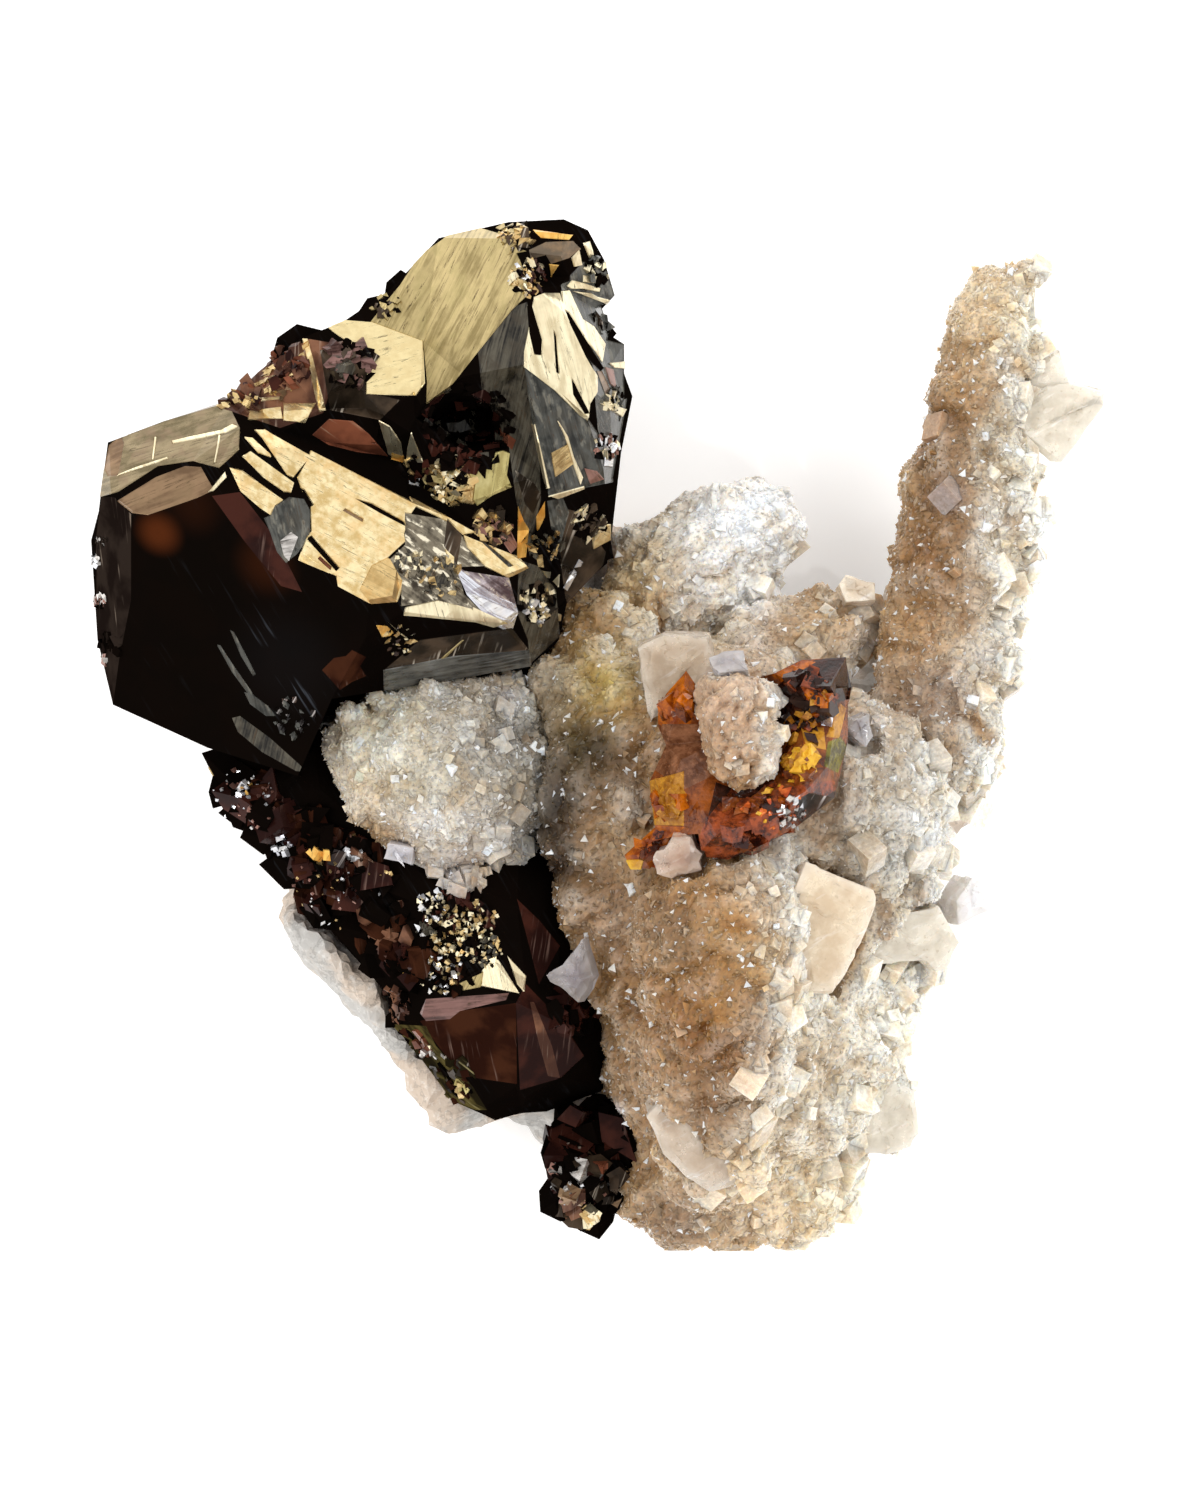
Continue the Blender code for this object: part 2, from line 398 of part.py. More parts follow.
def grown(obj, distance=GAP):
    """A copy of an object, larger all round by a distance in millimetres."""
    copy = bpy.data.objects.new(obj.name + "_grown", obj.data.copy())
    bpy.context.scene.collection.objects.link(copy)
    bm = bmesh.new()
    bm.from_mesh(copy.data)
    bm.normal_update()
    moves = []
    for vert in bm.verts:
        reach = min(2.0, vert.calc_shell_factor())
        moves.append(vert.co + vert.normal * distance * MM * reach)
    for vert, place in zip(bm.verts, moves):
        vert.co = place
    bm.to_mesh(copy.data)
    bm.free()
    return copy


def overlap(obj, other):
    """Say whether two objects share any space."""
    for solver in ("EXACT", "MANIFOLD"):
        shared = bpy.data.objects.new("shared", obj.data.copy())
        bpy.context.scene.collection.objects.link(shared)
        meet = shared.modifiers.new("meet", "BOOLEAN")
        meet.operation = "INTERSECT"
        meet.solver = solver
        meet.object = other
        settle(shared)
        found = len(shared.data.polygons) > 0
        bpy.data.objects.remove(shared, do_unlink=True)
        if found:
            return True
    return False


def melted(obj):
    """Make a cutter one clean closed skin."""
    melt = obj.modifiers.new("melt", "REMESH")
    melt.mode = "VOXEL"
    melt.voxel_size = CUTTER_VOXEL * MM
    settle(obj)
    return obj


def cut_once(obj, other):
    """Cut an object by grown copies of one neighbour, until the two are apart."""
    gap = DRUSE_GAP if other.name.startswith("quartz") else GAP
    for distance, clean in ((gap, False), (gap / 3, False), (gap, True), (gap / 15, False)):
        if not overlap(obj, other):
            return
        cutter = grown(other, distance)
        combine(obj, melted(cutter) if clean else cutter, "DIFFERENCE")
        bpy.data.objects.remove(cutter, do_unlink=True)
    if overlap(obj, other):
        print("no clean cut of", obj.name, "by", other.name)


def cut_by(obj, *others):
    """Cut an object by its neighbours, and keep the largest piece."""
    for other in others:
        cut_once(obj, other)
    largest_piece(obj)
    tidy(obj)


def flatten_faces(points, faces, rounds=14, hold=0.8):
    """Move heights a little so that each named face lies in one plane."""
    start = {name: point[2] for name, point in points.items()}
    height = dict(start)
    for _ in range(rounds):
        total = {name: start[name] * hold for name in points}
        weight = {name: hold for name in points}
        for face in faces:
            if len(face) < 4:
                continue
            centre = Vector((0, 0, 0))
            for name in face:
                centre += Vector((points[name][0], points[name][1], height[name])) / len(face)
            sxx = sxy = syy = sxz = syz = 0.0
            for name in face:
                dx = points[name][0] - centre.x
                dy = points[name][1] - centre.y
                dz = height[name] - centre.z
                sxx += dx * dx
                sxy += dx * dy
                syy += dy * dy
                sxz += dx * dz
                syz += dy * dz
            base = sxx * syy - sxy * sxy
            if abs(base) < 1e-6:
                continue
            slope_x = (sxz * syy - syz * sxy) / base
            slope_y = (syz * sxx - sxz * sxy) / base
            for name in face:
                dx = points[name][0] - centre.x
                dy = points[name][1] - centre.y
                total[name] += centre.z + slope_x * dx + slope_y * dy
                weight[name] += 1
        height = {name: total[name] / weight[name] for name in points}
    return height


def relief(rim, points, face_lines, base, centre, rings, rng):
    """A crystal group: named faces seen from above, closed by stepped sides below."""
    table = {"r%d" % index: place for index, place in enumerate(rim)}
    table.update(points)
    names = list(table)
    faces = [line.split() for line in face_lines]
    height = flatten_faces(table, faces)
    plan = [Vector(table[name][:2]) for name in names]
    number = {name: index for index, name in enumerate(names)}
    polygons = [[number[name] for name in face] for face in faces]
    polygons.append(list(range(len(rim))))
    edges = []
    for polygon in polygons:
        for index, corner in enumerate(polygon):
            edges.append((corner, polygon[(index + 1) % len(polygon)]))
    flat, _, triangles, sources, _, _ = delaunay_2d_cdt(plan, edges, [list(range(len(rim)))], 1, 1e-4)
    bm = bmesh.new()
    verts = []
    for place, source in zip(flat, sources):
        if source:
            z = height[names[source[0]]]
        else:
            print("crossing faces near", tuple(round(v, 2) for v in place))
            z = min(table[name][2] for name in names
                    if (Vector(table[name][:2]) - place).length < 4.0)
        verts.append(bm.verts.new((place.x, place.y, z)))
    for triangle in triangles:
        bm.faces.new([verts[index] for index in triangle])
    rim_of = {source[0]: index for index, source in enumerate(sources) if source}
    upper = [verts[rim_of[index]] for index in range(len(rim))]
    for scale, level in rings:
        lower = []
        for index, top in enumerate(upper):
            outline = Vector(rim[index][:2])
            place = Vector(centre) + (outline - Vector(centre)) * (scale + rng.uniform(-RING_WOBBLE, RING_WOBBLE))
            z = base + (rim[index][2] - base) * level
            lower.append(bm.verts.new((place.x, place.y, z)))
        for index in range(len(upper)):
            after = (index + 1) % len(upper)
            bm.faces.new([upper[index], upper[after], lower[after], lower[index]])
        upper = lower
    bm.faces.new(upper)
    bmesh.ops.triangulate(bm, faces=bm.faces)
    return bm


def crystal_hull(size, stretch, rng):
    """A blunt tetrahedral crystal: four large faces, four small ones and cut edges."""
    corners = [Vector((1, 1, 1)), Vector((1, -1, -1)), Vector((-1, 1, -1)), Vector((-1, -1, 1))]
    turn = corners[0].rotation_difference(Vector((0, 0, 1)))
    bm = bmesh.new()
    for index, corner in enumerate(corners):
        for step, other in enumerate(corners):
            if other == corner:
                continue
            share = TIP_SHARE if index == 0 else FOOT_SHARE
            share += rng.uniform(-SHARE_WOBBLE, SHARE_WOBBLE)
            place = turn @ (corner * share + other * (1 - share))
            place = place * size * HULL_SCALE
            place.z *= stretch
            bm.verts.new(place)
    hull = bmesh.ops.convex_hull(bm, input=bm.verts)
    spare = [item for item in hull["geom_interior"] if isinstance(item, bmesh.types.BMVert)]
    bmesh.ops.delete(bm, geom=spare, context="VERTS")
    return bm


def side_crystals(rim, centre, rng):
    """Blocky crystals round the sides of a group, just inside its outline."""
    table = []
    for index in range(0, len(rim), SIDE_STEP):
        outward = Vector(rim[index][:2]) - Vector(centre)
        spot = Vector(centre) + outward * SIDE_SHRINK
        level = SIDE_LEVELS[(index // SIDE_STEP) % len(SIDE_LEVELS)]
        turn = math.degrees(math.atan2(outward.y, outward.x)) + rng.uniform(-20, 20)
        table.append(((spot.x, spot.y, level), SIDE_SIZE * rng.uniform(0.8, 1.1), 90, turn, 1.0))
    return table


def placed(bm, place, lean, turn, spin=0.0):
    """Turn a shape about its own axis, lean it toward a compass direction, and move it."""
    direction = Matrix.Rotation(math.radians(turn), 4, "Z")
    leaning = Matrix.Rotation(math.radians(lean), 4, "Y")
    spinning = Matrix.Rotation(math.radians(spin), 4, "Z")
    whole = Matrix.Translation(Vector(place)) @ direction @ leaning @ direction.inverted() @ spinning
    bmesh.ops.transform(bm, matrix=whole, verts=bm.verts)
    return bm


def crystal_group(name, first, table, finish, rng):
    """Union crystal hulls onto a first shape, or onto each other."""
    made = new_object(name, first, finish) if first else None
    for place, size, lean, turn, stretch in table:
        bm = placed(crystal_hull(size, stretch, rng), place, lean, turn, rng.uniform(0, 120))
        if made is None:
            made = new_object(name, bm, finish)
            continue
        piece = new_object("piece", bm)
        combine(made, piece, "UNION")
        bpy.data.objects.remove(piece, do_unlink=True)
    largest_piece(made)
    tidy(made)
    return made


def rhomb(edges):
    """A calcite rhomb: a box leaned over to the cleavage angle."""
    bm = bmesh.new()
    bmesh.ops.create_cube(bm, size=1.0)
    slope = math.tan(math.radians(90 - RHOMB_ANGLE))
    for vert in bm.verts:
        x, y, z = vert.co
        vert.co = Vector((edges[0] * (x + slope * y), edges[1] * (y + slope * z / 3), edges[2] * z))
    return bm


def lobes(name, balls, finish):
    """A druse lobe: balls melted together, made lumpy and reduced to flat facets."""
    target, rough, grain, voxel, seed = DRUSE[name]
    bm = bmesh.new()
    for place, radius in balls:
        bmesh.ops.create_icosphere(bm, subdivisions=3, radius=radius, matrix=Matrix.Translation(place))
    made = new_object(name, bm, finish)
    melt = made.modifiers.new("melt", "REMESH")
    melt.mode = "VOXEL"
    melt.voxel_size = voxel * MM
    soften = made.modifiers.new("soften", "SMOOTH")
    soften.iterations = LOBE_SMOOTHING
    settle(made)
    bm = bmesh.new()
    bm.from_mesh(made.data)
    bm.normal_update()
    moves = []
    for vert in bm.verts:
        spot = vert.co / MM
        lump = noise.noise(spot / grain + Vector((seed, 0, 0)))
        fine = noise.noise(spot / (grain * FINE_GRAIN) + Vector((0, seed, 0)))
        moves.append(vert.co + vert.normal * (lump + FINE_SHARE * fine) * rough * MM)
    for vert, place in zip(bm.verts, moves):
        vert.co = place
    bm.to_mesh(made.data)
    bm.free()
    fewer = made.modifiers.new("fewer", "DECIMATE")
    fewer.ratio = min(1.0, target / (2.0 * len(made.data.vertices)))
    settle(made)
    made.data.materials.clear()
    made.data.materials.append(finish)
    largest_piece(made)
    tidy(made)
    return made


def on_side(side, spot, normal):
    """Say whether a spot lies on the right flank or on the upper side of a lobe."""
    if side == "right":
        return normal.x > RIGHT_SLOPE and spot.z > STUD_FLOOR and normal.z > -0.5
    return normal.z > UPPER_SLOPE


def surface_spots(obj, side, count, spacing, rng):
    """Spots spread over one side of a mesh, each with its normal, a spacing apart."""
    spots = []
    polygons = [p for p in obj.data.polygons if on_side(side, p.center / MM, p.normal)]
    tries = 0
    while len(spots) < count and tries < 6000:
        tries += 1
        polygon = rng.choice(polygons)
        spot = polygon.center / MM
        if all((spot - other[0]).length > spacing for other in spots):
            spots.append((spot.copy(), polygon.normal.copy()))
    return spots


def stud(obj, rng):
    """Fuse small rhombs to a druse lobe, half sunk in it."""
    for side, count, spacing, sizes in STUDS[obj.name]:
        for spot, normal in surface_spots(obj, side, count, spacing, rng):
            size = rng.uniform(*sizes)
            bm = rhomb((size, size * rng.uniform(0.8, 1.1), size * rng.uniform(0.8, 1.1)))
            tilt = Vector((0, 0, 1)).rotation_difference(normal).to_matrix().to_4x4()
            turn = Euler((rng.uniform(-0.5, 0.5), rng.uniform(-0.5, 0.5), rng.uniform(0, 3.1)))
            place = Matrix.Translation(spot + normal * size * STUD_LIFT)
            whole = place @ tilt @ turn.to_matrix().to_4x4()
            bmesh.ops.transform(bm, matrix=whole, verts=bm.verts)
            piece = new_object("stud", bm)
            combine(obj, piece, "UNION")
            bpy.data.objects.remove(piece, do_unlink=True)
        largest_piece(obj)
        tidy(obj)


def cut_block(obj, low, high):
    """Take away everything between two corners."""
    bm = bmesh.new()
    bmesh.ops.create_cube(bm, size=1.0)
    size = Vector(high) - Vector(low)
    bmesh.ops.scale(bm, vec=size, verts=bm.verts)
    bmesh.ops.translate(bm, vec=(Vector(high) + Vector(low)) / 2, verts=bm.verts)
    block = new_object("block", bm)
    combine(obj, block, "DIFFERENCE")
    bpy.data.objects.remove(block, do_unlink=True)
    largest_piece(obj)


def cut_base(obj, level):
    """Cut an object off flat at a height."""
    cut_block(obj, (-FAR, -FAR, level - FAR), (FAR, FAR, level))


def build_dark(finish, rng):
    """The three dark sphalerite groups."""
    bm = relief(MAIN_RIM, MAIN_POINTS, MAIN_FACES, DARK_BASE, MAIN_CENTRE, MAIN_RINGS, rng)
    sides = side_crystals(MAIN_RIM, MAIN_CENTRE, rng)
    main_group = crystal_group("sphalerite_main", bm, sides + MAIN_CRYSTALS, finish, rng)
    bm = relief(LOWER_RIM, LOWER_POINTS, LOWER_FACES, DARK_BASE, LOWER_CENTRE, LOWER_RINGS, rng)
    lower = crystal_group("sphalerite_lower", bm, LOWER_CRYSTALS, finish, rng)
    cut_by(lower, main_group)
    foot = crystal_group("sphalerite_foot", None, FOOT_CRYSTALS, finish, rng)
    cut_by(foot, lower)
    return main_group, lower, foot


def build_calcites(finish):
    """The larger calcite crystals, each a leaning block."""
    made = {}
    for name, centre, across, along, down in CALCITES:
        bm = bmesh.new()
        bmesh.ops.create_cube(bm, size=1.0)
        for vert in bm.verts:
            x, y, z = vert.co
            place = Vector(centre) + Vector(across) * x + Vector(along) * y
            vert.co = place + Vector(down) * (0.5 - z)
        made[name] = new_object(name, bm, finish)
    return made


def centre_all():
    """Move everything sideways so that the box of the whole is centred on the origin."""
    meshes = [obj.data for obj in bpy.data.objects]
    spots = [vert.co for mesh in meshes for vert in mesh.vertices]
    middle_x = (min(spot.x for spot in spots) + max(spot.x for spot in spots)) / 2
    middle_y = (min(spot.y for spot in spots) + max(spot.y for spot in spots)) / 2
    print("moved by", round(-middle_x / MM, 3), round(-middle_y / MM, 3), "mm")
    for mesh in meshes:
        mesh.transform(Matrix.Translation((-middle_x, -middle_y, 0)))


def main():
    clear_scene()
    rng = random.Random(SEED)
    dark = material("dark_sphalerite", (0.03, 0.018, 0.012), 0.12)
    amber = material("amber_sphalerite", (0.75, 0.28, 0.04), 0.08, transmission=0.8, ior=2.37)
    druse = material("quartz_druse", (0.62, 0.52, 0.42), 0.45)
    pale = material("calcite", (0.82, 0.74, 0.68), 0.25, transmission=0.4, ior=1.6)
    rock = material("matrix_rock", (0.72, 0.66, 0.6), 0.8)

    main_group, lower, foot = build_dark(dark, rng)
    calcite = build_calcites(pale)
    bm = relief(AMBER_RIM, AMBER_POINTS, AMBER_FACES, AMBER_BASE, AMBER_CENTRE, AMBER_RINGS, rng)
    amber_group = crystal_group("sphalerite_amber", bm, [], amber, rng)
    cut_by(amber_group, calcite["calcite_cap"], calcite["calcite_pink"], calcite["calcite_lilac"])

    plate = lobes("matrix_rock", PLATE_BALLS, rock)
    cut_base(plate, 0.0)
    cut_block(plate, (SEAT_LEFT, -FAR, PLATE_TOP), (FAR, FAR, FAR))
    cut_by(plate, main_group, lower, foot)

    ball = lobes("quartz_ball", BALL_BALLS, druse)
    stud(ball, rng)
    cut_by(ball, main_group, lower, plate, calcite["calcite_corner"])
    knob = lobes("quartz_knob", KNOB_BALLS, druse)
    cut_base(knob, PLATE_TOP + GAP)
    cut_by(knob, main_group)
    egg = lobes("quartz_egg", EGG_BALLS, druse)
    cut_by(egg, amber_group, calcite["calcite_cap"])
    finger = lobes("quartz_finger", FINGER_BALLS, druse)
    stud(finger, rng)
    cut_by(finger, calcite["calcite_fin"], calcite["calcite_thorn"], calcite["calcite_crest"])
    body = lobes("quartz_body", BODY_BALLS, druse)
    stud(body, rng)
    near = [piece for name, piece in calcite.items() if name not in FAR_CALCITES]
    cut_base(body, PLATE_TOP + GAP)
    cut_by(body, main_group, lower, foot, amber_group, egg, knob, ball, finger, *near)
    centre_all()


main()
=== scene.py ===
# Finishes and fine crystals of the sphalerite specimen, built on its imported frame.
# Lengths in the dictionaries are millimetres unless a note says pixels of the 1200 x 1500 photograph.
import math
import random

import bmesh
import bpy
import numpy as np
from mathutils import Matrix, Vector, noise
from mathutils.bvhtree import BVHTree


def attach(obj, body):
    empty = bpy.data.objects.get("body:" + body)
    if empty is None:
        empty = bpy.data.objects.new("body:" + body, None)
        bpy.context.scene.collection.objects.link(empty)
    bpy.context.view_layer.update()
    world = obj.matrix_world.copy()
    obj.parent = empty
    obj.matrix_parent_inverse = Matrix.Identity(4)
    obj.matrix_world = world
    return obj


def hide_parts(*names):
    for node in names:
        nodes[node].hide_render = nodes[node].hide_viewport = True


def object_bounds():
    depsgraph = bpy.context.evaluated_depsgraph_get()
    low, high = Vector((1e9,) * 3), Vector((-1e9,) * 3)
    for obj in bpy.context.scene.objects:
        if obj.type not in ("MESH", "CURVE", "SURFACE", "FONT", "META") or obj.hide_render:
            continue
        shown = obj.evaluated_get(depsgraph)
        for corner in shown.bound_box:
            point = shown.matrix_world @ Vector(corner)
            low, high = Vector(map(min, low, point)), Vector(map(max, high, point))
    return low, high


mm = 0.001
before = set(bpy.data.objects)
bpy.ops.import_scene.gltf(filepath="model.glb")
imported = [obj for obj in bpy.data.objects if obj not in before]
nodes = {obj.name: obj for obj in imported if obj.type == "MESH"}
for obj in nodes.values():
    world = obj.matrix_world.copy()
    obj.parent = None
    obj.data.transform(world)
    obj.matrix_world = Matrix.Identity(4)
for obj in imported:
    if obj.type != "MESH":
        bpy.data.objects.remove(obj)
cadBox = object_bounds()
print("frame loaded:", len(nodes), "nodes")

viewpoint = {
    "eye": (0.00007, -0.00084, 0.822),  # metres, straight above the middle of the photograph
    "distance": 0.8,                    # metres from the eye down to the plane that the pixels were measured in
    "pixel": 0.075,                     # width of a pixel in that plane
    "middle": (600, 750),               # pixels
    "lens": 256.0, "sensor": 36.0,
}


def pixelRay(px, py):
    # the line from the camera through a pixel
    across = (px - viewpoint["middle"][0]) * viewpoint["pixel"] * mm
    up = (viewpoint["middle"][1] - py) * viewpoint["pixel"] * mm
    return Vector(viewpoint["eye"]), Vector((across, up, -viewpoint["distance"])).normalized()


def pixelsOf(points):
    # the pixels that an array of points falls on
    eye = np.array(viewpoint["eye"])
    depth = (eye[2] - points[:, 2]) * viewpoint["pixel"] * mm / viewpoint["distance"]
    px = viewpoint["middle"][0] + (points[:, 0] - eye[0]) / depth
    py = viewpoint["middle"][1] - (points[:, 1] - eye[1]) / depth
    return np.stack([px, py], axis=1)


def pixelOf(point):
    # the pixel that one point falls on
    depth = (viewpoint["eye"][2] - point.z) * viewpoint["pixel"] * mm / viewpoint["distance"]
    return (viewpoint["middle"][0] + (point.x - viewpoint["eye"][0]) / depth,
            viewpoint["middle"][1] - (point.y - viewpoint["eye"][1]) / depth)


def castPixel(tree, px, py):
    # where a pixel lands on a surface: point and normal
    return tree.ray_cast(*pixelRay(px, py))[:2]


# Shader arithmetic: a Wire is one socket of a material, and Python operators on it add Math nodes
class Wire:
    def __init__(self, tree, socket=None):
        self.tree = tree
        self.socket = socket

    def node(self, kind, settings=None, inputs=None, output=0):
        made = self.tree.nodes.new("ShaderNode" + kind)
        for name, value in (settings or {}).items():
            setattr(made, name, value)
        for name, value in (inputs or {}).items():
            target = made.inputs[name]
            if isinstance(value, Wire):
                self.tree.links.new(value.socket, target)
            elif target.type == "RGBA":
                target.default_value = (*value, 1.0)
            else:
                target.default_value = value
        return Wire(self.tree, made.outputs[output])

    def maths(self, operation, first, second=0.0):
        return self.node("Math", {"operation": operation}, {0: first, 1: second})

    def __add__(self, other):
        return self.maths("ADD", self, other)

    def __radd__(self, other):
        return self.maths("ADD", other, self)

    def __sub__(self, other):
        return self.maths("SUBTRACT", self, other)

    def __rsub__(self, other):
        return self.maths("SUBTRACT", other, self)

    def __mul__(self, other):
        return self.maths("MULTIPLY", self, other)

    def __rmul__(self, other):
        return self.maths("MULTIPLY", other, self)

    def unsigned(self):
        return self.maths("ABSOLUTE", self)

    def smooth(self, low, high):
        # 0 below low, 1 above high, a soft slope between
        return self.node("MapRange", {"interpolation_type": "SMOOTHSTEP"}, {0: self, 1: low, 2: high})

    def blend(self, first, second, way="MIX"):
        # this wire is the share of the second colour
        return self.node("Mix", {"data_type": "RGBA", "blend_type": way, "clamp_result": True},
                         {0: self, 6: first, 7: second}, output=2)


def newFinish(name, fixed):
    # a material whose fixed values are set on the shader's own sockets
    made = bpy.data.materials.new(name)
    made.use_nodes = True
    shader = made.node_tree.nodes["Principled BSDF"]
    for socketName, value in fixed.items():
        shader.inputs[socketName].default_value = value
    return made, shader, Wire(made.node_tree)


def closeFinish(made, shader, colour, rough, height, relief):
    # link what changes over the surface; relief is the depth and the strength of a bump made of the height
    depth, strength = relief
    bump = height.node("Bump", inputs={"Height": height, "Distance": depth * mm, "Strength": strength})
    for socketName, wire in (("Base Color", colour), ("Roughness", rough), ("Normal", bump)):
        wire.tree.links.new(wire.socket, shader.inputs[socketName])
    return made


def streaked(start, angle, length, width, detail, wander=0.0):
    # noise drawn out along one direction of the plan: growth lines of a crystal face
    place = start.node("TexCoord", output="Object")
    turned = start.node("VectorRotate", {"rotation_type": "Z_AXIS"},
                        {"Vector": place, "Angle": -math.radians(angle)})
    drawn = start.node("VectorMath", {"operation": "MULTIPLY"},
                       {0: turned, 1: (1 / (length * mm), 1 / (width * mm), 1 / (length * mm))})
    return start.node("TexNoise", inputs={"Vector": drawn, "Scale": 1.0, "Detail": detail, "Distortion": wander})


def clouds(start, size, detail=3.0, rough=0.5):
    # even noise with features of about this size
    place = start.node("TexCoord", output="Object")
    return start.node("TexNoise", inputs={"Vector": place, "Scale": 1 / (size * mm),
                                          "Detail": detail, "Roughness": rough})


spotCore = 0.15  # share of a spot's radius that has its full strength


def spotAt(start, centre, radius):
    # 1 at a point of the specimen, fading to 0 at the radius
    place = start.node("TexCoord", output="Object")
    away = start.node("VectorMath", {"operation": "DISTANCE"}, {0: place, 1: Vector(centre) * mm}, output=1)
    return 1 - away.smooth(radius * spotCore * mm, radius * mm)


# In the dictionaries named Grain, streaks are length, width, detail and wander of a noise, clouds are size,
# detail and roughness, and a name with From holds the two noise values between which a mask rises.
# Bright crystal faces, whose colours paint the warm reflections that the dark sphalerite's mirror-like faces
# show: pale and deep colour of the growth lines, a tint in patches, direction of the lines in plan in degrees,
# metal, roughness, how strongly tint and lines show, and where given, mottling and pale grit
mirrorColumns = ("pale", "deep", "tint", "turn", "metal", "rough", "tintShare", "lines", "mottle", "grit")
mirrorLook = {
    "goldFace": ((0.97, 0.81, 0.48), (0.66, 0.47, 0.2), (0.82, 0.5, 0.18), -27, 0.9, 0.3, 0.5, 0.1, 0.75),
    "bronzeFace": ((0.8, 0.58, 0.27), (0.5, 0.33, 0.13), (0.72, 0.4, 0.12), -27, 0.9, 0.3, 0.5, 0.3, 0.5),
    "brightFace": ((0.88, 0.73, 0.4), (0.78, 0.62, 0.32), (0.6, 0.46, 0.22), 15, 0.9, 0.3, 0.4, 0.15, 0.7),
    "strawFace": ((0.55, 0.43, 0.205), (0.27, 0.205, 0.085), (0.34, 0.28, 0.11), 63, 0.85, 0.32, 0.4, 0.7),
    "paleFace": ((0.97, 0.87, 0.6), (0.66, 0.55, 0.34), (0.74, 0.58, 0.36), 104, 0.88, 0.3, 0.4, 0.35),
    "oliveFace": ((0.29, 0.225, 0.13), (0.13, 0.1, 0.05), (0.21, 0.135, 0.085), 16, 0.75, 0.28, 0.5, 0.5),
    "tanFace": ((0.29, 0.185, 0.105), (0.15, 0.09, 0.05), (0.21, 0.14, 0.075), 22, 0.7, 0.32, 0.5, 0.5),
    "slateFace": ((0.075, 0.075, 0.066), (0.014, 0.014, 0.012), (0.035, 0.03, 0.022),
                  105, 0.0, 0.22, 0.6, 0.7, 0.2, 0.07),
    "ironFace": ((0.085, 0.075, 0.055), (0.008, 0.007, 0.006), (0.03, 0.022, 0.014), 75, 0.0, 0.22, 0.6, 0.9),
    "blueFace": ((0.92, 0.94, 1.0), (0.42, 0.4, 0.45), (0.5, 0.46, 0.5), -38, 0.85, 0.25, 0.4, 0.9),
    "mottleFace": ((0.3, 0.26, 0.19), (0.045, 0.036, 0.026), (0.16, 0.13, 0.09),
                   -35, 0.75, 0.26, 0.65, 0.35, 0.5, 0.9),
    "plumFace": ((0.62, 0.54, 0.56), (0.12, 0.085, 0.09), (0.13, 0.09, 0.09),
                 -38, 0.7, 0.28, 0.5, 0.5, 0.2, 0.5),
    "greyFace": ((0.66, 0.62, 0.58), (0.12, 0.11, 0.1), (0.2, 0.17, 0.14), 10, 0.7, 0.26, 0.4, 0.9),
    "bandFace": ((0.2, 0.2, 0.185), (0.03, 0.03, 0.028), (0.09, 0.085, 0.07), 10, 0.5, 0.2, 0.5, 0.9),
    "chipFace": ((0.72, 0.54, 0.26), (0.26, 0.16, 0.06), (0.5, 0.26, 0.07), 40, 0.85, 0.28, 0.5, 0.6),
    "orangeFace": ((0.86, 0.5, 0.12), (0.6, 0.28, 0.05), (0.86, 0.6, 0.22), 80, 0.5, 0.32, 0.3, 0.4),
    "mauveFace": ((0.2, 0.105, 0.09), (0.055, 0.028, 0.024), (0.14, 0.07, 0.06), 5, 0.2, 0.3, 0.4, 0.8),
    "roseFace": ((0.32, 0.165, 0.13), (0.17, 0.08, 0.06), (0.25, 0.15, 0.12), -55, 0.55, 0.35, 0.4, 0.4),
    "capFace": ((0.18, 0.135, 0.092), (0.13, 0.1, 0.07), (0.42, 0.25, 0.12), 8, 0.6, 0.34, 0.3, 0.3),
    "oliveSquare": ((0.52, 0.44, 0.18), (0.36, 0.29, 0.11), (0.6, 0.52, 0.27), 80, 0.8, 0.3, 0.4, 0.4),
    # a painted white glint
    "whiteGlint": ((0.93, 0.93, 0.94), (0.52, 0.52, 0.55), (0.78, 0.68, 0.52), 30, 0.7, 0.22, 0.4, 0.5),
}
mirrorGrain = {
    "fixed": {"IOR": 1.6, "Specular IOR Level": 0.15},
    "fine": (3.4, 0.2, 6.0, 0.7), "broad": (5.0, 1.1, 5.0, 1.2), "fleck": (1.5, 0.45, 6.0),
    "patch": (1.7, 6.0, 0.66), "mottle": (0.8, 5.0, 0.6), "leastMottle": 0.2,
    "patchWeight": 0.25, "lineWeight": 0.35, "paleFrom": (0.40, 0.58), "tintFrom": (0.48, 0.66),
    "scratchAt": 0.40, "scratchWidth": (0.006, 0.02), "scratchFrom": (0.46, 0.56), "scratchShare": 0.8,
    "scratchTone": (0.05, 0.03, 0.015),
    "fleckFrom": (0.54, 0.62), "fleckPatchFrom": (0.42, 0.52), "fleckTone": (0.95, 0.86, 0.66),
    "roughSpread": 0.2, "fineRelief": 0.4, "relief": (0.09, 0.7),
}


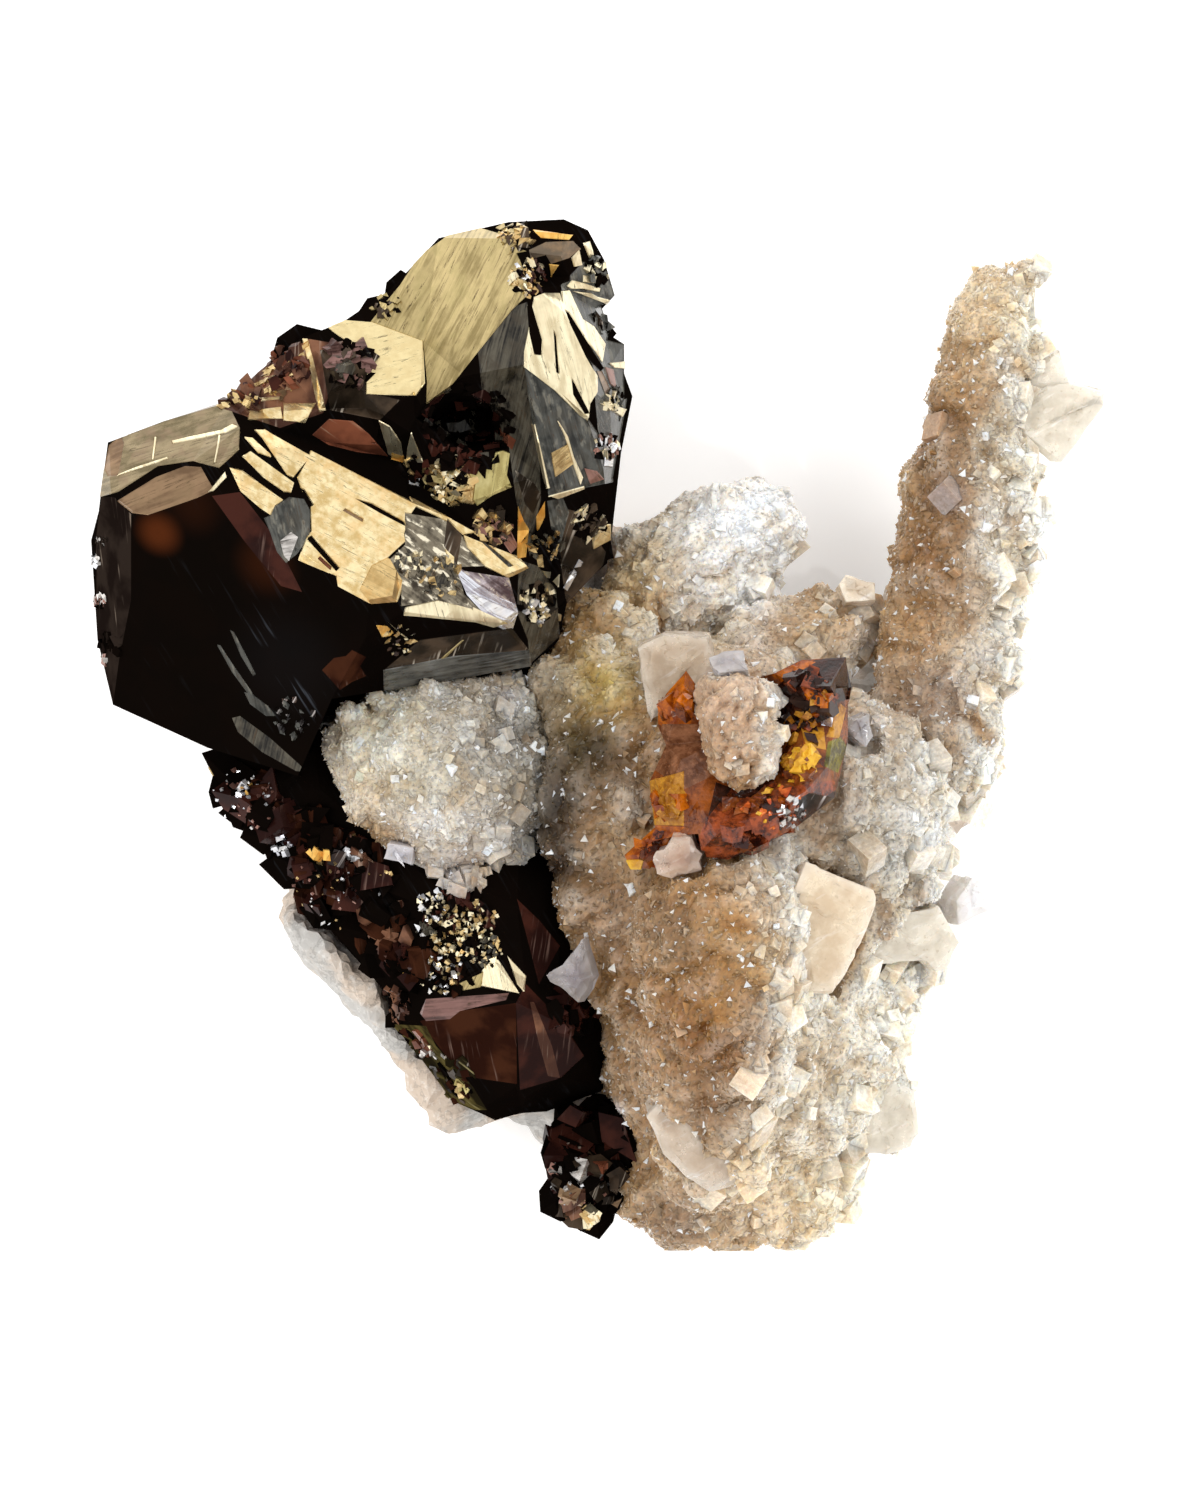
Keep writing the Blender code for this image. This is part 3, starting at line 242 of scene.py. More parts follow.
def mirrorFinish(name, look):
    grain = mirrorGrain
    made, shader, start = newFinish(name, {"Metallic": look["metal"], **grain["fixed"]})
    fine = streaked(start, look["turn"], *grain["fine"])
    patch = clouds(start, *grain["patch"])
    mottle = look.get("mottle", grain["leastMottle"])
    broad = (streaked(start, look["turn"], *grain["broad"]) * (1 - mottle)
             + clouds(start, *grain["mottle"]) * mottle)
    lineWeight = grain["lineWeight"] * look["lines"]
    shade = broad * (1 - grain["patchWeight"] - lineWeight) + patch * grain["patchWeight"] + fine * lineWeight
    colour = shade.smooth(*grain["paleFrom"]).blend(look["deep"], look["pale"])
    colour = (patch.smooth(*grain["tintFrom"]) * look["tintShare"]).blend(colour, look["tint"])
    scratch = 1 - (fine - grain["scratchAt"]).unsigned().smooth(*grain["scratchWidth"])
    scratch = scratch * broad.smooth(*grain["scratchFrom"]) * grain["scratchShare"]
    colour = scratch.blend(colour, grain["scratchTone"])
    if "grit" in look:
        fleck = streaked(start, look["turn"], *grain["fleck"]).smooth(*grain["fleckFrom"])
        fleck = fleck * patch.smooth(*grain["fleckPatchFrom"]) * look["grit"]
        colour = fleck.blend(colour, grain["fleckTone"])
    rough = patch * grain["roughSpread"] + (look["rough"] - grain["roughSpread"] / 2)
    height = fine * grain["fineRelief"] + broad * (1 - grain["fineRelief"])
    return closeFinish(made, shader, colour, rough, height, grain["relief"])


# Near-black faces: base colour, the brown that shows through in patches, pale scuffs that also paint glossy
# sheen, how strongly brown and scuffs show, roughness, shine, and direction of the scuffs in plan in degrees
darkColumns = ("base", "glow", "scuffAndSheen", "share", "scuffAndSheenShare", "gloss", "shine", "turn")
darkLook = {
    "blackFace": ((0.003, 0.002, 0.0015), (0.11, 0.026, 0.007), (0.05, 0.055, 0.065),
                  0.004, 0.6, 0.1, 0.0, -58),
    "edgeFace": ((0.008, 0.005, 0.004), (0.03, 0.021, 0.016), (0.22, 0.17, 0.13), 0.5, 0.7, 0.14, 0.0, 96),
    "redFace": ((0.015, 0.005, 0.004), (0.048, 0.014, 0.009), (0.24, 0.15, 0.12), 0.8, 0.4, 0.12, 0.04, 82),
    "brownFace": ((0.055, 0.024, 0.016), (0.22, 0.1, 0.055), (0.46, 0.34, 0.26), 0.8, 0.6, 0.16, 0.04, 88),
    "rustFace": ((0.016, 0.005, 0.003), (0.045, 0.015, 0.007), (0.22, 0.14, 0.11), 0.8, 0.6, 0.2, 0.0, 100),
    "russetFace": ((0.09, 0.028, 0.015), (0.22, 0.07, 0.035), (0.5, 0.34, 0.22), 0.8, 0.5, 0.14, 0.06, -35),
    "umberFace": ((0.016, 0.011, 0.007), (0.08, 0.053, 0.034), (0.6, 0.52, 0.42), 0.7, 0.7, 0.16, 0.06, 70),
    "mossFace": ((0.012, 0.009, 0.004), (0.1, 0.078, 0.024), (0.45, 0.38, 0.18), 0.7, 0.7, 0.14, 0.0, -40),
    "sideFace": ((0.012, 0.008, 0.007), (0.085, 0.04, 0.024), (0.42, 0.35, 0.29), 0.8, 0.3, 0.14, 0.1, 60),
    "nightFace": ((0.01, 0.008, 0.008), (0.06, 0.03, 0.02), (0.55, 0.5, 0.47), 0.6, 0.9, 0.1, 0.15, 60),
}
darkGrain = {
    "ior": 1.5, "patch": (3.2, 4.0), "scuffAndSheen": (6.0, 0.3, 5.0), "gather": (4.5, 2.0), "pitSize": 0.9,
    "glowFrom": (0.42, 0.62), "scuffAndSheenFrom": (0.56, 0.70), "gatherFrom": (0.46, 0.62),
    "elsewhere": 0.15,  # share of the scuffs and painted sheen that is left away from a scuff spot
    "sheenHaze": 0.03,       # painted sheen: even paleness within a scuff spot
    "scuffRough": 0.3, "scuffRelief": 0.5, "relief": (0.05, 0.4),
}
glowSpots = {  # where the great black face lets orange and red through: place, radius, strength
    "blackFace": [((-32.6, 15.2, 32.8), 2.3, 0.5), ((-29.5, 17.6, 33.6), 3.2, 0.1),
                  ((-24.5, 13.0, 34.6), 3.2, 0.14)],
}
scuffAndSheenSpots = {"blackFace": [((-23.2, 5.4, 32.3), 6.0, 1.3)]}  # where scuffs and painted sheen gather: place, radius, strength


def darkFinish(name, look):
    grain = darkGrain
    made, shader, start = newFinish(name, {"IOR": grain["ior"], "Specular IOR Level": look["shine"]})
    share = clouds(start, *grain["patch"]).smooth(*grain["glowFrom"]) * look["share"]
    for centre, radius, strength in glowSpots.get(name, []):
        share = share + spotAt(start, centre, radius) * strength
    # pale streaks that are partly scuffs and partly painted glossy sheen
    scuffAndSheen = streaked(start, look["turn"], *grain["scuffAndSheen"])
    gather = clouds(start, *grain["gather"]).smooth(*grain["gatherFrom"])
    scuffAndSheenMarks = scuffAndSheen.smooth(*grain["scuffAndSheenFrom"]) * gather * look["scuffAndSheenShare"]
    for centre, radius, strength in scuffAndSheenSpots.get(name, []):
        spot = spotAt(start, centre, radius)
        scuffAndSheenMarks = scuffAndSheenMarks * (spot * strength + grain["elsewhere"]) + spot * grain["sheenHaze"]
    colour = scuffAndSheenMarks.blend(share.blend(look["base"], look["glow"]), look["scuffAndSheen"])
    rough = scuffAndSheenMarks * grain["scuffRough"] + look["gloss"]
    height = scuffAndSheen * grain["scuffRelief"] + clouds(start, grain["pitSize"]) * (1 - grain["scuffRelief"])
    return closeFinish(made, shader, colour, rough, height, grain["relief"])


# Clear crystal: the colour of its clear parts and of its dark flaws, and how much light goes through
amberColumns = ("clear", "flaw", "through")
amberLook = {
    "amberBrown": ((0.3, 0.075, 0.01), (0.08, 0.016, 0.004), 0.25),
    "amberOrange": ((0.6, 0.15, 0.003), (0.22, 0.035, 0.002), 0.3),
    "amberHoney": ((0.7, 0.33, 0.035), (0.34, 0.12, 0.01), 0.3),
    "amberYellow": ((0.86, 0.5, 0.045), (0.6, 0.27, 0.01), 0.2),
    "amberRed": ((0.36, 0.07, 0.016), (0.035, 0.006, 0.003), 0.25),
    "amberFire": ((0.85, 0.2, 0.04), (0.4, 0.05, 0.012), 0.2),
    "amberDark": ((0.045, 0.012, 0.006), (0.008, 0.003, 0.002), 0.15),
    "amberOlive": ((0.26, 0.22, 0.02), (0.06, 0.045, 0.004), 0.3),
    "amberRose": ((0.36, 0.15, 0.07), (0.13, 0.04, 0.012), 0.35),
}
amberGrain = {
    "fixed": {"IOR": 1.5, "Specular IOR Level": 0.3}, "wisps": (1.8, 5.0, 0.6), "flecks": (0.4, 3.0, 0.6),
    "clearFrom": (0.36, 0.64), "fleckFrom": (0.54, 0.64), "fleckShare": 0.35, "fleckLight": 1.5,
    "flawFrom": (0.36, 0.46), "flawShare": 0.5, "rough": 0.02, "roughSpread": 0.15,
    "wispRelief": 0.6, "relief": (0.2, 0.8),
}


def amberFinish(name, look):
    grain = amberGrain
    made, shader, start = newFinish(name, {"Transmission Weight": look["through"], **grain["fixed"]})
    wisps = clouds(start, *grain["wisps"])
    flecks = clouds(start, *grain["flecks"])
    light = [min(1.0, value * grain["fleckLight"]) for value in look["clear"]]
    colour = wisps.smooth(*grain["clearFrom"]).blend(look["flaw"], look["clear"])
    colour = (flecks.smooth(*grain["fleckFrom"]) * grain["fleckShare"]).blend(colour, light)
    colour = ((1 - flecks.smooth(*grain["flawFrom"])) * grain["flawShare"]).blend(colour, look["flaw"])
    rough = flecks * grain["roughSpread"] + grain["rough"]
    height = wisps * grain["wispRelief"] + flecks * (1 - grain["wispRelief"])
    return closeFinish(made, shader, colour, rough, height, grain["relief"])


finishes = {}
for looks, columns, makeFinish in ((mirrorLook, mirrorColumns, mirrorFinish), (darkLook, darkColumns, darkFinish),
                                   (amberLook, amberColumns, amberFinish)):
    for finishName, row in looks.items():
        finishes[finishName] = makeFinish(finishName, dict(zip(columns, row)))
print("crystal finishes:", len(finishes))

# Crystal groups. base and unseen: finish of the faces that the photo shows and of those it doesn't.
# within: outline in pixels outside which the group sinks under its neighbours. faces: a finish and the
# outlines in pixels of the crystal faces or growth steps that have it, large ones first; the bright mirror
# finishes paint the reflections and glints that these faces show. chips: places strewn with small blocky
# crystals, as pixel, radius in pixels, count, size and finishes, where whiteGlint chips are painted glints.
mainGroup = {
    "node": "sphalerite_main", "piece": "mainCrystals", "slot": "dark_sphalerite",
    "base": "blackFace", "unseen": "sideFace",
    "faces": [
        ("edgeFace",
         [(96, 539), (101, 497), (114, 497), (131, 514), (131, 600), (119, 660), (113, 705), (97, 640)]),
        ("redFace", [(212, 496), (240, 492), (274, 536), (302, 592), (281, 586), (245, 542)]),
        ("oliveFace",
         [(100, 497), (104, 470), (112, 442), (164, 419), (227, 401), (240, 428), (239, 450), (219, 468),
          (193, 461), (158, 466), (118, 492)]),
        ("tanFace",
         [(117, 501), (156, 477), (185, 466), (201, 467), (214, 490), (197, 498), (148, 515), (132, 513)]),
        ("brownFace", [(216, 406), (258, 371), (309, 339), (345, 345), (323, 413), (280, 428)]),
        ("umberFace", [(320, 350), (362, 345), (368, 392), (400, 400), (380, 420), (330, 410)]),
        ("strawFace",
         [(368, 325), (385, 303), (400, 285), (420, 255), (447, 236), (480, 228), (508, 236), (520, 260),
          (532, 291), (512, 310), (478, 352), (440, 400), (426, 404), (427, 382), (423, 341), (395, 333)]),
        ("brightFace",
         [(328, 328), (345, 320), (372, 322), (423, 341), (425, 383), (416, 396), (366, 394), (366, 356)]),
        ("ironFace",
         [(516, 306), (527, 302), (536, 350), (541, 500), (530, 556), (516, 500), (508, 440), (482, 392),
          (478, 352)]),
        ("slateFace",
         [(523, 356), (530, 330), (545, 378), (572, 404), (589, 420), (600, 436), (614, 482), (585, 488),
          (549, 497), (533, 430)],
         [(561, 285), (583, 262), (612, 262), (616, 300), (607, 340), (627, 345), (627, 400), (612, 482),
          (598, 430), (592, 365), (565, 312)]),
        ("paleFace",
         [(534, 297), (544, 293), (559, 293), (567, 318), (586, 357), (597, 376), (597, 392), (590, 404),
          (588, 420), (580, 416), (569, 405), (555, 391), (524, 367), (524, 352)]),
        ("blackFace",
         [(527, 306), (532, 306), (542, 340), (541, 355), (534, 354), (529, 332)],
         [(571, 378), (575, 384), (589, 413), (585, 414), (573, 394)],
         [(553, 330), (556, 336), (559, 374), (556, 372)]),
        ("paleFace",
         [(561, 291), (569, 290), (574, 302), (582, 319), (593, 326), (605, 344), (602, 362), (595, 351),
          (581, 335), (563, 308)]),
        ("blackFace", [(564, 310), (569, 313), (590, 346), (604, 368), (601, 371), (591, 362), (575, 334)]),
        ("capFace",
         [(529, 250), (546, 242), (573, 241), (581, 249), (569, 258), (551, 264), (546, 255), (531, 259)]),
        ("orangeFace", [(533, 230), (573, 235), (569, 240), (541, 238)]),
        ("strawFace", [(502, 243), (511, 243), (520, 260), (512, 268), (502, 257)]),
        ("orangeFace", [(549, 264), (559, 265), (551, 277)]),
        ("blackFace", [(561, 265), (570, 266), (570, 281), (549, 288), (548, 281)]),
        ("paleFace",
         [(583, 275), (600, 277), (599, 284), (583, 282)],
         [(566, 286), (572, 280), (581, 282), (600, 288), (599, 292), (582, 289), (571, 289)],
         [(572, 291), (591, 293), (598, 297), (614, 301), (612, 306), (595, 300)],
         [(571, 258), (579, 250), (582, 265), (574, 267)],
         [(583, 243), (589, 241), (596, 262), (591, 263)],
         [(609, 363), (626, 361), (626, 369), (614, 368)],
         [(599, 403), (615, 405), (626, 409), (622, 417)]),
        ("roseFace", [(605, 367), (613, 369), (616, 389), (610, 384)]),
        ("tanFace", [(597, 371), (602, 371), (616, 402), (608, 401)]),
        ("chipFace", [(551, 453), (570, 443), (573, 464), (555, 477)]),
        ("paleFace",
         [(557, 420), (568, 436), (574, 457), (583, 477), (580, 485), (571, 458), (565, 437)],
         [(532, 424), (535, 424), (550, 488), (546, 489)],
         [(548, 496), (584, 486), (584, 489), (558, 499)]),
        ("roseFace", [(584, 468), (597, 471), (604, 479), (590, 484)]),
        ("whiteGlint", [(605, 457), (613, 458), (612, 467), (604, 466)]),
        ("umberFace",
         [(567, 509), (575, 511), (606, 552), (603, 565), (568, 606), (565, 596), (561, 564), (558, 549)]),
        ("goldFace", [(591, 526), (610, 524), (610, 540), (593, 549)]),
        ("whiteGlint", [(579, 559), (583, 562), (567, 591), (563, 588)]),
        ("slateFace", [(547, 501), (563, 498), (569, 512), (560, 547), (553, 540)]),
        ("paleFace",
         [(538, 570), (551, 572), (550, 578), (538, 577)],
         [(553, 581), (560, 574), (559, 588)],
         [(535, 626), (547, 611), (551, 615), (547, 628)],
         [(554, 613), (561, 614), (560, 621), (553, 621)]),
        ("ironFace", [(519, 560), (538, 566), (556, 590), (560, 636), (530, 664), (528, 640), (517, 612)]),
        ("goldFace",
         [(229, 467), (242, 470), (283, 500), (272, 516), (260, 508), (240, 491)],
         [(242, 456), (250, 451), (294, 483), (291, 493), (284, 492), (264, 478)],
         [(244, 437), (252, 438), (270, 454), (271, 458), (258, 453)],
         [(254, 430), (264, 430), (311, 456), (293, 478), (287, 475), (262, 438)]),
        ("slateFace",
         [(271, 515), (275, 506), (289, 497), (304, 499), (310, 510), (310, 536), (297, 554), (286, 563),
          (277, 552), (270, 532), (264, 518)]),
        ("greyFace", [(280, 541), (291, 532), (298, 537), (289, 561), (284, 556)]),
        ("goldFace",
         [(310, 451), (417, 505), (409, 517), (404, 534), (405, 542), (388, 558), (399, 563), (402, 578),
          (401, 592), (396, 602), (371, 604), (338, 586), (336, 576), (298, 560), (306, 538), (311, 531),
          (310, 503), (302, 492), (297, 477), (308, 459)]),
        ("bronzeFace", [(371, 604), (396, 602), (402, 578), (399, 563), (388, 558), (372, 566), (360, 590)]),
        ("blackFace", [(307, 539), (311, 536), (339, 568), (336, 571)]),
        ("russetFace", [(318, 559), (320, 557), (331, 567), (330, 570)]),
        ("blackFace", [(355, 499), (372, 504), (404, 522), (405, 526), (380, 513)]),
        ("tanFace", [(343, 511), (345, 509), (363, 519), (362, 522)]),
        ("blackFace", [(300, 488), (304, 490), (313, 505), (310, 507)]),
        ("mottleFace",
         [(405, 513), (448, 520), (461, 534), (467, 546), (485, 566), (457, 567), (464, 594), (493, 623),
          (470, 612), (438, 602), (401, 606), (402, 580), (390, 559), (405, 545)]),
        ("goldFace",
         [(409, 497), (477, 533), (463, 535), (448, 522), (414, 506)],
         [(463, 535), (518, 557), (528, 568), (508, 578), (485, 567), (467, 547)]),
        ("ironFace", [(480, 541), (483, 541), (513, 566), (508, 567)]),
        ("umberFace", [(447, 519), (462, 535), (457, 565), (444, 546)]),
        ("goldFace", [(445, 549), (454, 557), (454, 569), (448, 559)]),
        ("blueFace", [(455, 567), (465, 571), (509, 578), (518, 612), (511, 634), (493, 624), (467, 595)]),
        ("plumFace", [(458, 567), (465, 571), (509, 578), (516, 604), (500, 598), (478, 584)]),
        ("whiteGlint", [(466, 591), (518, 613), (511, 621), (487, 611)]),
        ("paleFace",
         [(405, 607), (438, 600), (472, 609), (477, 622), (457, 620), (428, 617), (403, 615)],
         [(473, 607), (508, 623), (493, 627), (472, 621)]),
        ("orangeFace", [(376, 625), (387, 626), (397, 635), (382, 637)]),
        ("paleFace", [(388, 622), (409, 639), (400, 634)]),
        ("umberFace", [(420, 640), (512, 628), (529, 650), (454, 656), (384, 670)]),
        ("rustFace",
         [(322, 670), (334, 658), (346, 656), (352, 650), (366, 657), (360, 666), (366, 676), (352, 682),
          (340, 690)]),
        ("strawFace", [(430, 668), (462, 640), (464, 640), (434, 669)]),
        ("bandFace", [(383, 670), (454, 656), (530, 650), (532, 668), (450, 682), (384, 692)]),
        ("russetFace", [(312, 435), (329, 419), (353, 421), (369, 434), (388, 456), (357, 452), (329, 445)]),
        ("paleFace", [(379, 420), (390, 426), (401, 442), (404, 460), (388, 454)]),
        ("orangeFace", [(392, 452), (404, 456), (404, 463), (391, 459)]),
        ("paleFace", [(411, 432), (424, 463), (406, 462), (407, 449)]),
        ("goldFace",
         [(248, 411), (281, 407), (283, 419), (248, 420)],
         [(283, 403), (316, 403), (305, 423), (283, 421)],
         [(302, 339), (308, 339), (326, 410), (319, 412)]),
        ("chipFace",
         [(216, 406), (250, 384), (250, 389), (222, 410)],
         [(228, 396), (262, 380), (296, 372), (297, 375), (263, 384), (230, 400)]),
        ("paleFace", [(240, 403), (256, 398), (282, 396), (283, 399), (256, 402), (241, 407)]),
        ("chipFace",
         [(284, 362), (304, 352), (305, 356), (287, 366)],
         [(262, 372), (309, 341), (309, 346), (268, 374)]),
        ("whiteGlint", [(409, 475), (420, 476), (419, 486), (409, 484)]),
        ("chipFace", [(426, 465), (461, 460), (478, 485), (474, 505), (459, 502), (440, 486)]),
        ("blackFace", [(443, 472), (459, 473), (462, 486), (447, 487)]),
        ("oliveSquare",
         [(478, 457), (503, 450), (510, 453), (507, 475), (512, 487), (493, 495), (477, 506), (473, 500)],
         [(461, 460), (477, 458), (481, 471), (475, 484)]),
        ("roseFace", [(487, 519), (501, 510), (518, 546), (511, 554)]),
        ("umberFace", [(515, 470), (535, 484), (541, 495), (533, 514), (525, 504)]),
        ("orangeFace",
         [(518, 506), (524, 521), (529, 529), (526, 557), (517, 559)],
         [(536, 517), (545, 501), (545, 517), (537, 534)]),
        ("russetFace", [(500, 428), (516, 440), (512, 450), (502, 440)]),
        ("paleFace",
         [(172, 441), (188, 437), (222, 430), (233, 424), (238, 427), (226, 433), (188, 441), (173, 444)],
         [(119, 474), (136, 467), (168, 457), (168, 459), (136, 470), (118, 476)]),
        ("tanFace", [(104, 468), (109, 445), (121, 436), (124, 443), (121, 460), (118, 476), (108, 476)]),
        ("paleFace",
         [(208, 492), (225, 471), (227, 477), (214, 491)],
         [(155, 437), (157, 437), (154, 460), (152, 460)],
         [(219, 435), (221, 435), (216, 463), (214, 463)]),
        ("ironFace",
         [(232, 718), (240, 716), (270, 738), (300, 765), (306, 772), (296, 771), (262, 752), (238, 732)]),
        ("slateFace",
         [(217, 645), (220, 645), (238, 672), (252, 692), (254, 697), (249, 695), (232, 672)],
         [(230, 630), (234, 632), (246, 655), (256, 674), (253, 676), (241, 656)],
         [(244, 692), (252, 694), (268, 706), (276, 716), (266, 716), (250, 704)]),
    ],
    "chips": [
        ((528, 279), 18, 90, 0.55, "paleFace redFace whiteGlint chipFace blackFace"),
        ((512, 238), 16, 40, 0.7, "chipFace strawFace umberFace"),
        ((600, 268), 14, 40, 0.6, "slateFace paleFace blackFace blackFace"),
        ((605, 320), 12, 26, 0.7, "slateFace blackFace umberFace"),
        ((536, 602), 18, 80, 0.75, "blackFace blackFace paleFace umberFace"),
        ((538, 612), 12, 30, 0.5, "paleFace whiteGlint paleFace"),
        ((588, 522), 16, 60, 0.8, "blackFace umberFace paleFace blackFace"),
        ((606, 446), 12, 50, 0.6, "blackFace roseFace paleFace whiteGlint"),
        ((613, 398), 10, 30, 0.7, "slateFace paleFace blackFace"),
        ((450, 481), 24, 110, 0.6, "chipFace strawFace blackFace paleFace"),
        ((492, 527), 18, 70, 0.7, "roseFace blackFace umberFace chipFace"),
        ((468, 425), 44, 130, 1.0, "blackFace blackFace blackFace redFace ironFace"),
        ((414, 470), 14, 24, 0.6, "redFace blackFace blackFace chipFace"),
        ((350, 365), 22, 70, 1.0, "blackFace umberFace mauveFace ironFace"),
        ((244, 396), 20, 26, 1.2, "russetFace brownFace redFace brownFace"),
        ((240, 396), 18, 14, 0.5, "chipFace goldFace"),
        ((276, 384), 16, 20, 0.6, "russetFace tanFace chipFace"),
        ((286, 368), 20, 40, 1.0, "brownFace russetFace redFace"),
        ((386, 306), 14, 24, 0.6, "strawFace umberFace blackFace"),
        ((440, 576), 22, 60, 0.5, "mottleFace chipFace ironFace"),
        ((410, 562), 14, 40, 0.5, "paleFace ironFace mottleFace"),
        ((112, 640), 12, 24, 0.9, "blackFace edgeFace"),
        ((100, 600), 6, 26, 0.5, "greyFace roseFace blackFace"), ((101, 660), 6, 34, 0.5, "greyFace roseFace"),
        ((97, 560), 5, 24, 0.45, "greyFace whiteGlint"), ((103, 700), 6, 26, 0.5, "greyFace edgeFace"),
        ((102, 540), 6, 16, 0.4, "greyFace edgeFace"),
        ((294, 716), 20, 40, 0.45, "blackFace slateFace nightFace"),
        ((400, 640), 16, 40, 0.5, "blackFace paleFace chipFace nightFace"),
        ((545, 545), 16, 50, 0.7, "blackFace ironFace chipFace"),
    ],
}
lowerGroup = {
    "node": "sphalerite_lower", "piece": "lowerCrystals", "slot": "dark_sphalerite",
    "base": "blackFace", "unseen": "sideFace",
    "faces": [
        ("rustFace", [(420, 1021), (459, 1011), (516, 1003), (517, 1084), (462, 1076), (438, 1046)]),
        ("redFace", [(516, 1003), (526, 984), (562, 1021), (584, 1056), (561, 1078), (520, 1090)]),
        ("brownFace", [(530, 1002), (534, 1002), (552, 1046), (560, 1078), (548, 1076), (538, 1040)]),
        ("redFace", [(517, 899), (539, 920), (560, 946), (539, 984)]),
        ("mauveFace",
         [(426, 999), (509, 993), (506, 1000), (460, 1011), (450, 1019), (426, 1021), (420, 1013)]),
        ("mossFace",
         [(390, 1024), (426, 1026), (436, 1046), (460, 1072), (473, 1087), (487, 1110), (463, 1110),
          (435, 1084), (410, 1051)]),
        ("paleFace",
         [(482, 970), (496, 955), (520, 994), (480, 986)],
         [(507, 955), (526, 976), (524, 992), (517, 984)]),
        ("strawFace", [(455, 985), (483, 972), (481, 987), (460, 991)]),
        ("paleFace", [(475, 917), (487, 922), (495, 938), (492, 949), (482, 942)]),
        ("chipFace", [(203, 766), (209, 767), (214, 776)]),
        ("brownFace", [(232, 819), (260, 795), (256, 811), (239, 827)]),
        ("chipFace", [(311, 848), (325, 844), (329, 854), (318, 866)]),
        ("brownFace", [(358, 852), (374, 857), (367, 866), (356, 861)]),
        ("russetFace", [(328, 886), (346, 879), (353, 890), (345, 902), (330, 899)]),
        ("brownFace", [(380, 904), (402, 900), (405, 926), (384, 930)]),
        ("orangeFace", [(397, 957), (412, 960), (414, 984), (409, 991)]),
    ],
    "chips": [
        ((254, 797), 24, 24, 2.3, "redFace rustFace blackFace"),
        ((285, 835), 36, 44, 2.8, "redFace blackFace blackFace rustFace"),
        ((345, 880), 42, 56, 2.6, "redFace blackFace rustFace blackFace"),
        ((330, 860), 36, 46, 1.2, "blackFace redFace blackFace rustFace nightFace"),
        ((340, 880), 50, 46, 0.28, "whiteGlint chipFace roseFace"),
        ((245, 800), 34, 50, 0.28, "whiteGlint roseFace"),
        ((238, 788), 8, 16, 0.5, "whiteGlint roseFace blackFace"),
        ((385, 930), 24, 30, 1.8, "brownFace blackFace rustFace"),
        ((455, 925), 34, 150, 0.9, "blackFace blackFace redFace"),
        ((445, 965), 30, 110, 0.9, "blackFace blackFace rustFace"),
        ((432, 905), 15, 60, 0.4, "whiteGlint blackFace paleFace"),
        ((455, 930), 26, 120, 0.42, "chipFace paleFace blackFace"),
        ((478, 925), 22, 90, 0.4, "paleFace chipFace blackFace"),
        ((440, 972), 22, 80, 0.4, "paleFace blackFace chipFace whiteGlint"),
        ((485, 950), 18, 60, 0.45, "blackFace paleFace goldFace ironFace"),
        ((405, 965), 18, 36, 1.4, "blackFace redFace rustFace"),
        ((395, 1005), 16, 60, 1.0, "brownFace blackFace"), ((575, 1010), 22, 50, 1.2, "blackFace redFace"),
        ((412, 1045), 16, 40, 0.9, "rustFace blackFace russetFace mossFace"),
        ((450, 1080), 24, 60, 0.8, "mossFace blackFace umberFace rustFace"),
        ((430, 1052), 8, 6, 0.6, "paleFace greyFace"), ((462, 1088), 6, 8, 0.7, "oliveSquare chipFace"),
        ((425, 928), 8, 20, 0.5, "whiteGlint ironFace"), ((283, 846), 10, 16, 0.5, "whiteGlint blueFace"),
        ((352, 852), 6, 10, 0.55, "whiteGlint"), ((320, 856), 6, 6, 0.9, "chipFace orangeFace"),
        ((362, 860), 6, 4, 1.2, "brownFace"), ((245, 788), 7, 10, 0.4, "whiteGlint orangeFace"),
    ],
}
footGroup = {
    "node": "sphalerite_foot", "piece": "footCrystals", "slot": "dark_sphalerite",
    "base": "blackFace", "unseen": "sideFace",
    "faces": [
        ("umberFace", [(560, 1194), (580, 1193), (583, 1220), (566, 1216)]),
        # a painted grey-white reflection
        ("greyFace", [(576, 1165), (593, 1163), (595, 1183), (578, 1186)]),
        ("chipFace", [(581, 1229), (584, 1210), (594, 1208), (598, 1217), (590, 1230)]),
        ("russetFace", [(597, 1162), (610, 1161), (611, 1168), (598, 1169)]),
    ],
    "chips": [
        ((590, 1145), 38, 50, 2.4, "blackFace blackFace redFace"),
        ((588, 1185), 30, 44, 1.8, "blackFace umberFace blackFace redFace"),
        ((584, 1174), 3, 2, 1.5, "greyFace"), ((556, 1172), 8, 6, 0.8, "greyFace roseFace blackFace"),
        ((604, 1165), 3, 3, 1.0, "russetFace"), ((572, 1205), 14, 16, 1.4, "umberFace tanFace brownFace"),
        ((588, 1214), 5, 8, 1.3, "paleFace goldFace"),
        ((612, 1190), 14, 12, 1.1, "umberFace blackFace tanFace"),
        ((580, 1175), 36, 16, 0.3, "whiteGlint greyFace roseFace"),
    ],
}
